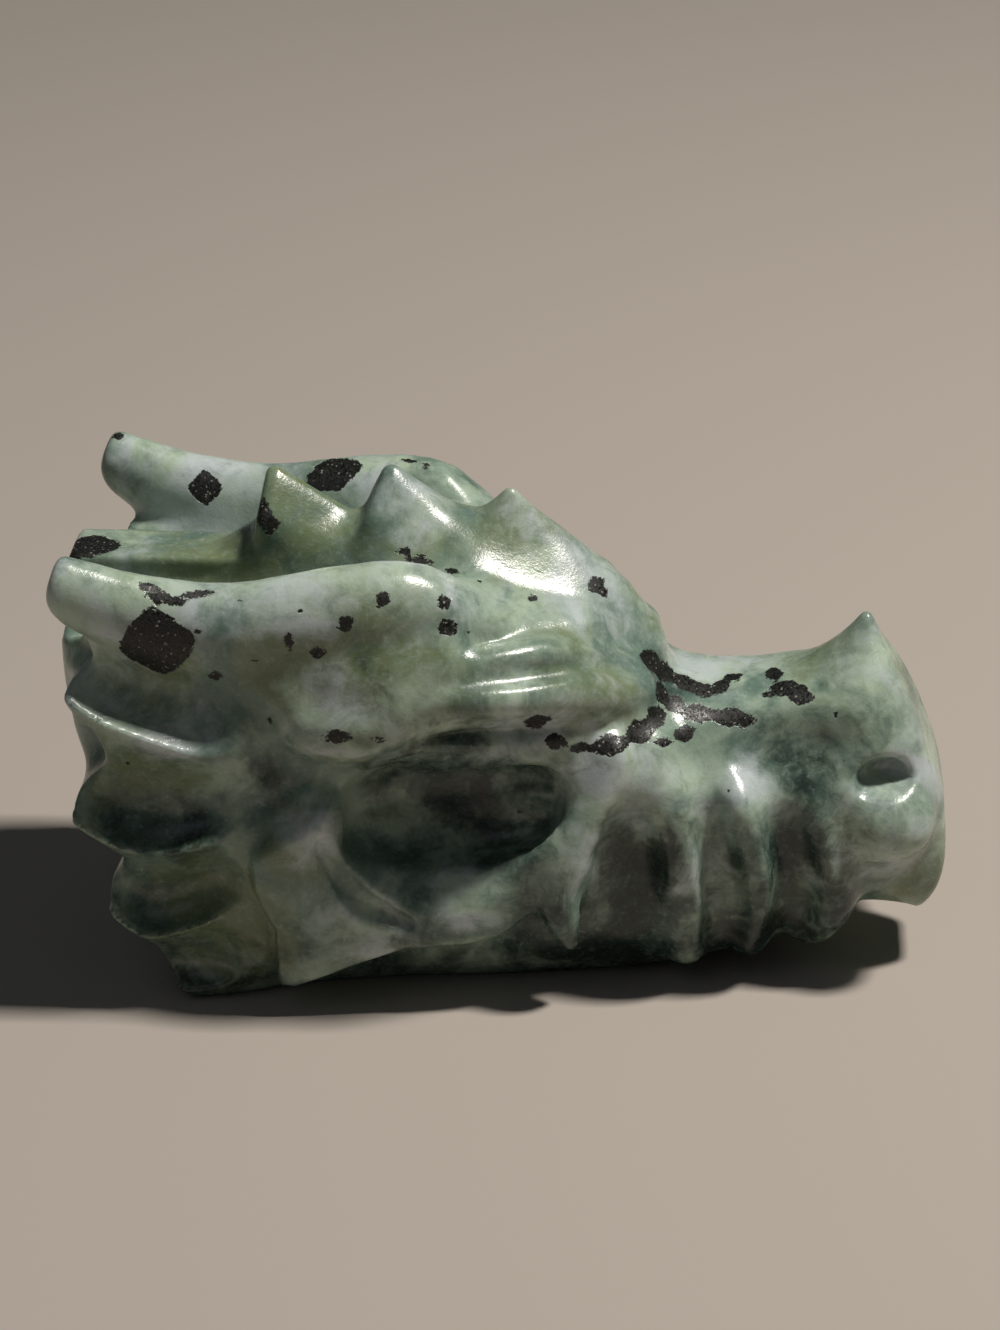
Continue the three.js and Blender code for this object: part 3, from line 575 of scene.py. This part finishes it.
def settle(points):
    """Each point less the slope there times the distance over the slope's square."""
    x, y, z = points.T
    height = stone(x, y, z)
    slope = np.stack([
        stone(x + STEP, y, z) - height,
        stone(x, y + STEP, z) - height,
        stone(x, y, z + STEP) - height,
    ], 1) / STEP
    steepness = np.maximum((slope ** 2).sum(1), LEAST_STEEPNESS)
    move = np.clip(height, -LONGEST_MOVE, LONGEST_MOVE) / steepness
    return points - slope * move[:, None]


points = settle(points)
underside = points[:, 2] < NEAR_UNDERSIDE
points[underside, 2] = 0.0
lift = np.clip(points[:, 2] / RIPPLE_FADES_BELOW, 0, 1)
ripple = RIPPLE * waviness(*points.T)
print("vertices on the underside:", underside.sum())

# %% [markdown]
# ## The mesh
#
# The drawn points are turned into metres in the solid's place. The object itself stays at the origin. It
# stands for the solid, which is hidden but still used for contact, and it rides on the only body.

# %% The mesh
placed = (points - [DRAWN_MIDDLE, 0, 0]) * UNIT
mesh = bpy.data.meshes.new("dragon_head_stone")
mesh.from_pydata((placed * MM).tolist(), [], faces.tolist())
mesh.polygons.foreach_set("use_smooth", np.ones(len(mesh.polygons), bool))
mesh.update()
normals = np.empty(len(points) * 3, np.float32)
mesh.vertices.foreach_get("normal", normals)
normals = normals.reshape(-1, 3)
placed += normals * (ripple * lift)[:, None]
mesh.vertices.foreach_set("co", (placed * MM).astype(np.float32).ravel())
mesh.update()

head = bpy.data.objects.new("carved_stone", mesh)
bpy.context.collection.objects.link(head)
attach(head, "root")
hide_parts("dragon_head")
print("mesh, mm:", placed.min(0).round(2), placed.max(0).round(2))

# %% [markdown]
# ## Where the black crystals are
#
# The stone carries grainy black crystals, from specks to a patch 4 mm across. The ones that show are given
# as places in the photograph: pixel x and y, half width and half height in pixels, and a lean in degrees.
# A line of sight through the pixel finds the surface, and a blunt diamond there, set square to the camera
# and long in depth, marks the crystal: it is where the offsets over their half sizes, each to the power 1.2,
# add up to about one. Others are given in millimetres for the sides that the photograph does not show. The
# distance to the nearest crystal is kept on every vertex, so the material can cut a crisp, angular edge finer
# than the mesh.

# %% The crystals that the photograph shows
SEEN_CRYSTALS = [
    (205, 487, 17, 17, 5), (334, 472, 27, 19, 14), (318, 484, 18, 9, 10), (131, 433, 14, 4, -14),
    (118, 436, 6, 4, 0), (92, 546, 27, 16, 4), (75, 553, 9, 10, 0), (262, 512, 8, 16, 0),
    (270, 524, 10, 9, 0), (156, 645, 36, 34, 10), (163, 622, 8, 10, 0), (150, 588, 14, 5, -20),
    (160, 598, 13, 6, -8), (176, 601, 12, 5, 0), (192, 595, 18, 4, 8), (197, 632, 4, 3, 0),
    (382, 600, 8, 7, 60), (444, 602, 7, 8, 20), (448, 628, 10, 9, 25), (345, 624, 8, 8, 30),
    (289, 642, 4, 9, 0), (318, 652, 8, 6, 0), (256, 660, 4, 2, 0), (216, 676, 6, 4, 0),
    (405, 551, 8, 4, 0), (420, 561, 13, 5, -12), (452, 571, 8, 3, -8), (533, 598, 5, 4, 40),
    (596, 584, 11, 8, 20), (605, 592, 6, 5, 0), (410, 461, 8, 3, -10), (425, 466, 5, 4, 0),
    (338, 737, 15, 6, 4), (379, 739, 6, 4, 0), (270, 720, 4, 3, 0), (537, 721, 13, 9, 10),
    (556, 742, 11, 9, 0), (578, 748, 14, 5, 0), (610, 745, 22, 10, 8), (640, 732, 22, 11, 30),
    (656, 716, 12, 10, 40), (651, 662, 15, 12, -30), (664, 672, 17, 11, -30), (684, 682, 18, 8, -20),
    (702, 690, 15, 8, -5), (722, 686, 12, 7, 30), (733, 677, 9, 6, 20), (660, 692, 8, 12, 0),
    (674, 704, 12, 9, -30), (700, 714, 20, 9, -5), (730, 717, 22, 9, 0), (744, 722, 10, 6, 0),
    (684, 734, 13, 8, 25), (664, 742, 10, 5, 0), (774, 674, 9, 11, 10), (780, 689, 12, 8, -20),
    (769, 694, 6, 5, 0), (800, 695, 13, 11, -15), (790, 684, 8, 5, 0), (835, 714, 3, 3, 0),
    (838, 628, 2, 2, 0), (470, 632, 3, 2, 0), (240, 600, 3, 2, 0), (520, 812, 3, 2, 0),
    (845, 760, 2, 2, 0), (300, 611, 3, 2, 0), (664, 620, 3, 2, 0), (728, 792, 2, 2, 0),
]

# %% The crystals on the hidden sides
# Each row is x, y and z, the half length, the half width, and a lean in degrees.
HIDDEN_CRYSTALS = [
    (-16.0, 11.0, 12.5, 2.6, 1.6, 25), (-18.2, 10.8, 10.6, 1.0, 0.6, -30), (-12.5, 11.4, 17.2, 1.6, 0.7, -10),
    (-3.0, 10.8, 6.0, 2.0, 1.1, 40), (-1.2, 10.0, 4.6, 1.1, 0.6, 0), (-5.6, 11.0, 7.4, 0.6, 0.4, 10),
    (5.0, 8.6, 9.0, 1.7, 0.8, 75), (4.0, 8.8, 6.4, 0.8, 0.5, 20), (13.5, 7.4, 5.5, 1.4, 0.6, -60),
    (16.5, 5.2, 15.5, 1.5, 0.9, 15), (14.2, 5.0, 15.9, 0.8, 0.4, -20), (21.5, 5.6, 7.5, 0.9, 0.5, 30),
    (-21.0, -3.5, 8.5, 2.0, 1.4, 50), (-22.2, -5.4, 11.4, 0.8, 0.5, 0), (-24.0, 4.5, 17.5, 1.7, 1.0, 20),
    (-23.0, 6.6, 15.0, 0.7, 0.4, 0), (-23.0, -6.0, 14.0, 0.8, 0.5, 60), (-5.0, 10.6, 20.5, 1.9, 0.9, 12),
    (-7.6, 11.0, 21.4, 0.8, 0.5, -15), (3.0, 8.4, 18.0, 1.0, 0.5, -10), (-9.0, 4.0, 0.0, 2.4, 1.6, 0),
    (4.0, -3.0, 0.0, 1.6, 1.0, 0), (-19.0, 9.8, 25.0, 1.0, 0.5, 0), (10.0, 7.6, 12.0, 0.5, 0.3, 0),
]

# %% Distance to the nearest crystal
FAR_FROM_CRYSTALS = 20.0
BLUNTNESS = 1.2
CRYSTAL_GROWTH = 1.12
DEPTH_SHARE = 1.5
DEPTH_MARGIN = 0.3


def turned(across, upward, lean):
    """The two offsets measured along axes that lean by so many degrees."""
    cos, sin = np.cos(np.radians(lean)), np.sin(np.radians(lean))
    return across * cos + upward * sin, upward * cos - across * sin


def sight_line(pixel_x, pixel_y):
    """Direction from the camera through a pixel of the photograph."""
    across = (pixel_x - FRAME_PIXELS[0] / 2) / PIXELS_PER_MM / CAMERA_DISTANCE
    upward = (FRAME_PIXELS[1] / 2 - pixel_y) / PIXELS_PER_MM / CAMERA_DISTANCE
    direction = -to_camera + camera_right * across + camera_up * upward
    return direction / np.linalg.norm(direction)


tree = BVHTree.FromObject(head, bpy.context.evaluated_depsgraph_get())
crystal_gap = np.full(len(placed), FAR_FROM_CRYSTALS)
for pixel_x, pixel_y, half_width, half_height, lean in SEEN_CRYSTALS:
    hit = tree.ray_cast(Vector(camera_place * MM), Vector(sight_line(pixel_x, pixel_y)))[0]
    if hit is None:
        print("no stone at pixel", pixel_x, pixel_y)
        continue
    offset = placed - np.array(hit) / MM
    across, upward = turned(offset @ camera_right, offset @ camera_up, lean)
    u = across * PIXELS_PER_MM / half_width
    v = upward * PIXELS_PER_MM / half_height
    longest = max(half_width, half_height) / PIXELS_PER_MM
    w = offset @ to_camera / (DEPTH_SHARE * longest + DEPTH_MARGIN)
    flat_reach = (np.abs(u) ** BLUNTNESS + np.abs(v) ** BLUNTNESS) ** (1 / BLUNTNESS)
    reach = (flat_reach + np.abs(w) ** 2) / CRYSTAL_GROWTH
    gap = (reach - 1) * min(half_width, half_height) / PIXELS_PER_MM
    crystal_gap = np.minimum(crystal_gap, gap)
for x, y, z, half_length, half_width, lean in HIDDEN_CRYSTALS:
    along, sideways, upward = (placed - [x, y, z]).T
    along, upward = turned(along, upward, lean)
    u, v, w = along / half_length, upward / half_width, sideways / half_length
    reach = sum(np.abs(offset) ** BLUNTNESS for offset in (u, v, w)) ** (1 / BLUNTNESS) / CRYSTAL_GROWTH
    crystal_gap = np.minimum(crystal_gap, (reach - 1) * half_width)
print("vertices in crystals:", (crystal_gap < 0).sum())

# %% [markdown]
# ## Where the stone changes colour
#
# The mottling is not even: the spikes and the brow are yellowish green, the nose is sage green, the horns,
# the forehead and the tops of the folds are milky, and the eye, the grooves and the jaw are a deep blue
# green, made darker still as painted shade where shade falls in them. Some olive zones are painted shade on
# the near side of the horn and in the trough, and some pale zones are painted light on the nose's front, the
# brow's lobe and the horn's rear. Each colour gets soft round zones in millimetres: x, y, z and radius,
# strongest at the middle. They are kept on the vertices too, and the material breaks their edges up with
# noise, so that they drift into each other as they do in the stone.

# %% Colour zones
# Some olive zones, on the shaded near side of the horn and in the trough, are painted shade; the others are
# the stone's own olive.
OLIVE_AND_SHADE_ZONES = [
    (-12.0, -1.5, 26.0, 4.5), (-5.0, -1.0, 25.0, 3.0), (1.0, -1.0, 25.0, 3.4), (20.0, 0, 17.0, 3.4),
    (4.5, -8.0, 19.0, 3.4), (-4.5, -10.0, 20.0, 3.0), (-20.5, -10.5, 15.0, 3.2),
    (-19.0, -11.0, 20.0, 2.5), (15.0, -6.5, 15.4, 1.4), (-11.0, -11.0, 10.4, 2.4),
    (-17.0, -2.5, 21.0, 6.0), (-8.5, -11.0, 16.8, 2.2), (-8.0, -11.0, 21.6, 4.2),
    (-12.0, -11.6, 21.0, 3.2), (-16.0, -11.5, 6.0, 4.0), (24.0, -3.0, 6.0, 2.4),
    (-8.0, 10.0, 12.0, 4.5), (8.0, 7.0, 6.0, 4.0), (-22.0, 0.0, 10.0, 5.0), (8.0, 2.0, 22.0, 3.5),
]
# Some pale zones are painted light where the lamp falls, on the nose's front, the brow's lobe and the horn's
# rear; the others are the stone's own milky white.
PALE_AND_LIT_ZONES = [
    (-23.0, -10.5, 22.4, 5.4), (-16.0, -9.0, 25.0, 3.6), (-11.0, -9.0, 25.6, 3.0),
    (-5.0, -8.6, 26.0, 3.2), (-8.5, -11.0, 18.6, 2.8), (-4.6, -11.0, 18.6, 2.4),
    (0.8, -10.0, 18.4, 2.8), (6.8, -7.5, 14.0, 3.2), (11.5, 0, 17.5, 3.4), (22.4, -6.0, 10.4, 4.6),
    (9.8, -7.6, 12.4, 3.0), (-18.0, 9.5, 24.5, 6.0), (-8.0, 9.0, 24.5, 4.0), (4.0, -3.0, 23.0, 4.4),
    (-7.0, -11.0, 5.0, 2.4), (14.0, -7.0, 12.0, 2.6), (-18.0, -11.8, 17.2, 2.2), (20.0, 5.0, 10.0, 4.0),
    (-16.0, 6.0, 12.0, 5.0), (-23.5, 0, 20.0, 4.0), (-4.6, -1.6, 27.4, 2.2), (24.8, -2.0, 12.0, 5.0),
    (21.4, -1.6, 18.6, 3.0), (0.8, -0.8, 27.0, 2.0), (4.6, -8.8, 9.6, 2.2), (11.3, -8.2, 8.0, 2.0),
    (-2.2, -9.6, 7.0, 2.0), (-21.6, -11.4, 18.4, 2.4), (-10.4, -11.4, 11.2, 1.7),
]
# The deep zones are partly the stone's blue green and partly painted shade: the eye under the brow, the
# hollows under the lobe and behind the cheek, the grooves, the trough and the low parts near the floor.
DEEP_GREEN_AND_SHADE_ZONES = [
    (-1.5, -8.0, 13.0, 5.0), (8.0, -8.0, 8.0, 3.8), (-12.6, -11.5, 13.8, 1.9), (-5.0, -9.5, 2.0, 5.0),
    (13.1, -6.8, 8.6, 2.1), (17.4, -6.0, 6.8, 4.6), (-13.5, -11.0, 3.0, 3.0), (6.0, -8.0, 2.0, 6.0),
    (-15.0, -5.0, 21.0, 4.0), (-9.0, -5.0, 22.5, 3.0), (-1.5, 9.0, 12.0, 5.0), (2.0, 5.0, 1.0, 8.0),
    (-18.8, -11.0, 11.6, 2.8), (-18.5, -10.5, 6.5, 2.6), (-17.0, -10.5, 2.0, 3.0),
    (14.0, -5.0, 2.5, 5.0), (-2.0, -8.0, 15.5, 5.0), (-8.5, -13.4, 21.0, 3.0), (16.5, -6.5, 14.4, 2.8),
    (8.6, -2.5, 16.6, 2.2),
]
ZONE_SPREAD = 1.7


def zone_strength(zones):
    """The strongest of the zones at each vertex: one less the square of the reach, to the power 1.5."""
    strength = np.zeros(len(placed))
    for x, y, z, radius in zones:
        reach = np.linalg.norm(placed - [x, y, z], axis=1) / (ZONE_SPREAD * radius)
        strength = np.maximum(strength, np.clip(1 - reach ** 2, 0, 1) ** 1.5)
    return strength


def store(name, values):
    """Keeps one number for each vertex, for the material to read by name."""
    layer = mesh.attributes.new(name, "FLOAT", "POINT")
    layer.data.foreach_set("value", np.asarray(values, np.float32))


store("crystal_gap", crystal_gap)
store("olive_and_shade", zone_strength(OLIVE_AND_SHADE_ZONES))
store("pale", zone_strength(PALE_AND_LIT_ZONES))
store("deep_green_and_shade", zone_strength(DEEP_GREEN_AND_SHADE_ZONES))
print("colour zones:", len(OLIVE_AND_SHADE_ZONES), "olive,", len(PALE_AND_LIT_ZONES), "pale,", len(DEEP_GREEN_AND_SHADE_ZONES), "deep_green_and_shade")

# %% [markdown]
# ## Polished jasper
#
# Jasper is fine-grained quartz. Polished, it has a waxy, even gloss with an IOR of 1.54, and light goes a
# millimetre or two into the milky parts, which softens the shading. The colours are soft clouds laid over
# each other: grey-green ground, deep blue green that is partly painted shade, olive that is partly painted
# shade, and milky white that is partly painted light, with nearly black green over all where the deep zones
# are strongest, which is painted shade in the deepest hollows.

# %% Two helpers for materials


def colour(hex_code):
    """sRGB hex to linear red, green, blue and alpha."""
    channels = np.array([int(hex_code[i:i + 2], 16) for i in (1, 3, 5)]) / 255
    linear = np.where(channels <= 0.04045, channels / 12.92, ((channels + 0.055) / 1.055) ** 2.4)
    return (*linear.tolist(), 1.0)


def add_node(tree, kind, settings, inputs, output=0):
    """Adds one node, sets its settings and inputs, links inputs that are sockets, returns an output."""
    node = tree.nodes.new(kind)
    for name, value in settings.items():
        setattr(node, name, value)
    for name, value in inputs.items():
        if isinstance(value, bpy.types.NodeSocket):
            tree.links.new(value, node.inputs[name])
        else:
            node.inputs[name].default_value = value
    return node.outputs[output]


# %% The sockets of a Mix and a Math node
# A Mix node's sockets share their names, so they are told apart by number: how much of the upper colour
# shows, the lower colour, the upper colour and the mixed one. A Math node's go by their order.
SHARE, LOWER, UPPER, MIXED = 0, 6, 7, 2
LOWER_NUMBER, UPPER_NUMBER = 2, 3
FIRST, SECOND, THIRD = 0, 1, 2
colour_mix = {"data_type": "RGBA"}
times_plus = {"operation": "MULTIPLY_ADD"}
smooth_rise = {"interpolation_type": "SMOOTHSTEP"}

# %% The clouds in the stone
# Noise sizes in millimetres: drifts of colour, mottling, a frosting of fine grains and polishing scratches.
WIDE_CLOUD = 5.0
SMALL_CLOUD = 1.3
FINE_CLOUD = 0.4
SCRATCH = 0.14
WIDE_WEIGHT = 2.4
SMALL_WEIGHT = 1.4
CLOUD_MIDDLE = 1.9
jasper = bpy.data.materials.new("polished_green_jasper")
jasper.use_nodes = True
nodes = jasper.node_tree
nodes.nodes.clear()
place = add_node(nodes, "ShaderNodeTexCoord", {}, {}, "Object")
PER_METRE = 1 / MM
wide = add_node(nodes, "ShaderNodeTexNoise", {}, {
    "Vector": place, "Scale": PER_METRE / WIDE_CLOUD,
    "Detail": 6.0, "Roughness": 0.6, "Distortion": 0.7}, "Color")
small = add_node(nodes, "ShaderNodeTexNoise", {}, {
    "Vector": place, "Scale": PER_METRE / SMALL_CLOUD,
    "Detail": 6.0, "Roughness": 0.65, "Distortion": 0.5}, "Color")
fine = add_node(nodes, "ShaderNodeTexNoise", {}, {
    "Vector": place, "Scale": PER_METRE / FINE_CLOUD, "Detail": 4.0, "Roughness": 0.7})


def cloud_share(name, channel, low, high, most):
    """A zone's strength plus two scales of cloud, raised smoothly from nought to the most."""
    wide_part = add_node(nodes, "ShaderNodeSeparateColor", {}, {"Color": wide}, channel)
    small_part = add_node(nodes, "ShaderNodeSeparateColor", {}, {"Color": small}, channel)
    zone = add_node(nodes, "ShaderNodeAttribute", {"attribute_name": name}, {}, "Fac")
    level = add_node(
        nodes, "ShaderNodeMath", times_plus, {FIRST: wide_part, SECOND: WIDE_WEIGHT, THIRD: zone})
    level = add_node(
        nodes, "ShaderNodeMath", times_plus, {FIRST: small_part, SECOND: SMALL_WEIGHT, THIRD: level})
    return add_node(nodes, "ShaderNodeMapRange", smooth_rise, {
        "Value": level, "From Min": low + CLOUD_MIDDLE, "From Max": high + CLOUD_MIDDLE, "To Max": most})


# %% The colours of the stone
wide_grey = add_node(nodes, "ShaderNodeSeparateColor", {}, {"Color": wide}, "Green")
small_grey = add_node(nodes, "ShaderNodeSeparateColor", {}, {"Color": small}, "Red")
ground = add_node(nodes, "ShaderNodeMix", colour_mix, {
    SHARE: add_node(nodes, "ShaderNodeMapRange", smooth_rise, {
        "Value": wide_grey, "From Min": 0.38, "From Max": 0.62}),
    LOWER: colour("#657C70"), UPPER: colour("#9DAF9D")}, MIXED)
# Deep blue green, partly painted shade in the hollows and low parts.
deep_green_and_shade = add_node(nodes, "ShaderNodeMix", colour_mix, {
    SHARE: cloud_share("deep_green_and_shade", "Red", 0.1, 1.1, 1.0), LOWER: ground, UPPER: colour("#263B34")}, MIXED)
# Olive, partly painted shade on the near side of the horn and in the trough.
olive_and_shade = add_node(nodes, "ShaderNodeMix", colour_mix, {
    SHARE: cloud_share("olive_and_shade", "Green", 0.1, 1.15, 0.9), LOWER: deep_green_and_shade, UPPER: colour("#6B7753")}, MIXED)
sage_share = add_node(nodes, "ShaderNodeSeparateColor", {}, {"Color": wide}, "Red")
milk = add_node(nodes, "ShaderNodeMix", colour_mix, {
    SHARE: add_node(nodes, "ShaderNodeMapRange", smooth_rise, {
        "Value": sage_share, "From Min": 0.4, "From Max": 0.6}),
    LOWER: colour("#C2CACD"), UPPER: colour("#B4C5AF")}, MIXED)
# Milky white, partly painted light on the lit faces.
milky_and_lit = add_node(nodes, "ShaderNodeMix", colour_mix, {
    SHARE: cloud_share("pale", "Blue", 0.2, 1.3, 0.9), LOWER: olive_and_shade, UPPER: milk}, MIXED)
mossy = add_node(nodes, "ShaderNodeMix", colour_mix, {
    SHARE: add_node(nodes, "ShaderNodeMapRange", smooth_rise, {
        "Value": small_grey, "From Min": 0.5, "From Max": 0.7, "To Max": 0.4}),
    LOWER: milky_and_lit, UPPER: colour("#536A5C")}, MIXED)
frosted = add_node(nodes, "ShaderNodeMix", colour_mix, {
    SHARE: add_node(nodes, "ShaderNodeMapRange", smooth_rise, {
        "Value": fine, "From Min": 0.48, "From Max": 0.75, "To Max": 0.2}),
    LOWER: mossy, UPPER: colour("#C6D0CB")}, MIXED)
# Nearly black green where the deep zones are strongest: painted shade in the eye's pit and the deepest
# hollows.
stone_colour_with_painted_light = add_node(nodes, "ShaderNodeMix", colour_mix, {
    SHARE: cloud_share("deep_green_and_shade", "Red", 0.75, 1.35, 0.75), LOWER: frosted, UPPER: colour("#0F1713")}, MIXED)

# %% [markdown]
# ## Black crystals
#
# The black crystals are another mineral, like hornblende: dark brown black, granular and less glossy, with
# tiny flat faces that glint. A few grains are also given a pale grey colour, which is a painted glint. Cells
# about half a millimetre wide give them their angular edges, and cells of a tenth of a millimetre give the
# grains. They lie a hair below the polish, because they wear faster.

# %% The black crystals
# Sizes in millimetres. The chips shift a crystal's edge by up to 0.14 mm, the clouds and the grains by less.
CHIP = 0.45
GRAIN = 0.1
CHIP_SHIFT = 0.14
CLOUD_SHIFT = 0.1
GRAIN_SHIFT = 0.08
chips = add_node(nodes, "ShaderNodeTexVoronoi", {}, {
    "Vector": place, "Scale": PER_METRE / CHIP, "Randomness": 1.0}, "Color")
chip_pick = add_node(nodes, "ShaderNodeSeparateColor", {}, {"Color": chips}, "Red")
grains = add_node(nodes, "ShaderNodeTexVoronoi", {}, {
    "Vector": place, "Scale": PER_METRE / GRAIN, "Randomness": 1.0}, "Color")
grain_pick = add_node(nodes, "ShaderNodeSeparateColor", {}, {"Color": grains}, "Red")
grain_gloss = add_node(nodes, "ShaderNodeSeparateColor", {}, {"Color": grains}, "Green")
crystal_zone = add_node(nodes, "ShaderNodeAttribute", {"attribute_name": "crystal_gap"}, {}, "Fac")
shifted = add_node(
    nodes, "ShaderNodeMath", times_plus, {FIRST: chip_pick, SECOND: CHIP_SHIFT, THIRD: crystal_zone})
shifted = add_node(
    nodes, "ShaderNodeMath", times_plus, {FIRST: small_grey, SECOND: CLOUD_SHIFT, THIRD: shifted})
shifted = add_node(
    nodes, "ShaderNodeMath", times_plus, {FIRST: grain_pick, SECOND: GRAIN_SHIFT, THIRD: shifted})
crystal = add_node(
    nodes, "ShaderNodeMapRange", smooth_rise, {"Value": shifted, "From Min": 0.18, "From Max": 0.12})

# %% Stray specks
# One cell in four, of cells 3 mm wide, holds a speck up to a third of a millimetre across.
SPECK_CELL = 3.0
SPECK_GROWTH = 0.24
SPECK_RARITY = -0.18
speck_cells = add_node(nodes, "ShaderNodeTexVoronoi", {}, {
    "Vector": place, "Scale": PER_METRE / SPECK_CELL, "Randomness": 1.0}, "Color")
speck_middle = add_node(nodes, "ShaderNodeTexVoronoi", {}, {
    "Vector": place, "Scale": PER_METRE / SPECK_CELL, "Randomness": 1.0}, "Distance")
speck_size = add_node(nodes, "ShaderNodeSeparateColor", {}, {"Color": speck_cells}, "Blue")
speck_size = add_node(
    nodes, "ShaderNodeMath", times_plus, {FIRST: speck_size, SECOND: SPECK_GROWTH, THIRD: SPECK_RARITY})
speck_gap = add_node(
    nodes, "ShaderNodeMath", {"operation": "SUBTRACT"}, {FIRST: speck_middle, SECOND: speck_size})
speck = add_node(
    nodes, "ShaderNodeMapRange", smooth_rise, {"Value": speck_gap, "From Min": 0.01, "From Max": -0.01})
black = add_node(nodes, "ShaderNodeMath", {"operation": "MAXIMUM"}, {FIRST: crystal, SECOND: speck})

# %% Their colour
crystal_colour = add_node(nodes, "ShaderNodeMix", colour_mix, {
    SHARE: grain_pick, LOWER: colour("#040504"), UPPER: colour("#16170F")}, MIXED)
# A few grains are painted pale grey: a painted glint, beside the real glints from the grains' bumps and
# gloss.
painted_glint = add_node(
    nodes, "ShaderNodeMapRange", smooth_rise, {"Value": grain_pick, "From Min": 0.96, "From Max": 0.99})
crystal_colour = add_node(nodes, "ShaderNodeMix", colour_mix, {
    SHARE: painted_glint, LOWER: crystal_colour, UPPER: colour("#85827A")}, MIXED)
final_colour = add_node(nodes, "ShaderNodeMix", colour_mix, {
    SHARE: black, LOWER: stone_colour_with_painted_light, UPPER: crystal_colour}, MIXED)

# %% Gloss, relief and the shader
# Heights in millimetres: the polish stands 0.03 mm proud at most, and the grains lie up to 0.05 mm deep.
# Light goes about a millimetre into the stone, and not into the crystals, which look dull and solid.
FINE_HEIGHT = 0.02
SCRATCH_HEIGHT = 0.01
GRAIN_HEIGHT = 0.06
GRAIN_DEPTH = -0.05
MILKINESS = 0.3
STONE_ROUGHNESS = 0.16
ROUGHER_IN_CLOUDS = 0.2
CRYSTAL_ROUGHNESS = 0.25
ROUGHER_IN_GRAINS = 0.45
stone_roughness = add_node(nodes, "ShaderNodeMath", times_plus, {
    FIRST: small_grey, SECOND: ROUGHER_IN_CLOUDS, THIRD: STONE_ROUGHNESS})
crystal_roughness = add_node(nodes, "ShaderNodeMath", times_plus, {
    FIRST: grain_gloss, SECOND: ROUGHER_IN_GRAINS, THIRD: CRYSTAL_ROUGHNESS})
roughness = add_node(nodes, "ShaderNodeMix", {"data_type": "FLOAT"}, {
    SHARE: black, LOWER_NUMBER: stone_roughness, UPPER_NUMBER: crystal_roughness})
scratches = add_node(nodes, "ShaderNodeTexNoise", {}, {
    "Vector": place, "Scale": PER_METRE / SCRATCH, "Detail": 2.0, "Roughness": 0.6})
polish = add_node(
    nodes, "ShaderNodeMath", {"operation": "MULTIPLY"}, {FIRST: fine, SECOND: FINE_HEIGHT})
polish = add_node(
    nodes, "ShaderNodeMath", times_plus, {FIRST: scratches, SECOND: SCRATCH_HEIGHT, THIRD: polish})
rough_grains = add_node(
    nodes, "ShaderNodeMath", times_plus, {FIRST: grain_pick, SECOND: GRAIN_HEIGHT, THIRD: GRAIN_DEPTH})
height = add_node(
    nodes, "ShaderNodeMath", times_plus, {FIRST: rough_grains, SECOND: black, THIRD: polish})
relief = add_node(nodes, "ShaderNodeBump", {}, {"Height": height, "Strength": 1.0, "Distance": MM})
milkiness = add_node(
    nodes, "ShaderNodeMath", times_plus, {FIRST: black, SECOND: -MILKINESS, THIRD: MILKINESS})
surface = add_node(nodes, "ShaderNodeBsdfPrincipled", {}, {
    "Base Color": final_colour, "Roughness": roughness, "Normal": relief, "IOR": 1.54,
    "Subsurface Weight": milkiness, "Subsurface Radius": (1.0, 1.0, 0.8), "Subsurface Scale": 1.2 * MM})
output = nodes.nodes.new("ShaderNodeOutputMaterial")
nodes.links.new(surface, output.inputs["Surface"])
mesh.materials.append(jasper)
print("nodes in the jasper:", len(nodes.nodes))

# %% [markdown]
# ## Floor and light
#
# The floor is a plain pale sheet. The head is lit from high on the right, which leaves its near side in soft
# shade and puts bright glints on the brow, the spikes and the bridge. One lamp stands there, a wide and very
# weak one lightens the shade from the front left, and a dim sky fills the rest.

# %% The floor
# A matt sheet has no gloss, so the eye gets only its pale colour and the shadow on it.
FLOOR = 4000 * MM
floor_mesh = bpy.data.meshes.new("floor")
floor_mesh.from_pydata(
    [(-FLOOR, -FLOOR, 0), (FLOOR, -FLOOR, 0), (FLOOR, FLOOR, 0), (-FLOOR, FLOOR, 0)], [], [(0, 1, 2, 3)])
floor = bpy.data.objects.new("floor", floor_mesh)
bpy.context.collection.objects.link(floor)
matt = bpy.data.materials.new("matt_pale_floor")
matt.use_nodes = True
matt_shader = matt.node_tree.nodes["Principled BSDF"]
matt_shader.inputs["Base Color"].default_value = colour("#ACA39A")
matt_shader.inputs["Roughness"].default_value = 0.9
floor_mesh.materials.append(matt)

# %% The lights
HEAD_MIDDLE = (0, 0, 12)


def add_lamp(name, place_mm, size_mm, watts, tint):
    """A square lamp that faces the middle of the head."""
    light = bpy.data.lights.new(name, "AREA")
    light.size = size_mm * MM
    light.energy = watts
    light.color = colour(tint)[:3]
    lamp = bpy.data.objects.new(name, light)
    lamp.location = Vector(place_mm) * MM
    aim = Vector(HEAD_MIDDLE) - Vector(place_mm)
    lamp.rotation_euler = aim.to_track_quat("-Z", "Y").to_euler()
    bpy.context.collection.objects.link(lamp)
    print("lamp:", name, "at", place_mm, "mm,", watts, "watts")


add_lamp("key", place_mm=(185, 5, 432), size_mm=55, watts=2.35, tint="#FFFAF2")
add_lamp("fill", place_mm=(-200, -260, 420), size_mm=300, watts=0.07, tint="#E6EEFF")

# %% The sky
SKY_STRENGTH = 0.05
world = bpy.data.worlds.new("studio")
bpy.context.scene.world = world
world.use_nodes = True
sky = world.node_tree.nodes["Background"]
sky.inputs["Color"].default_value = colour("#DCE6F2")
sky.inputs["Strength"].default_value = SKY_STRENGTH
bpy.context.scene.view_settings.view_transform = "Standard"
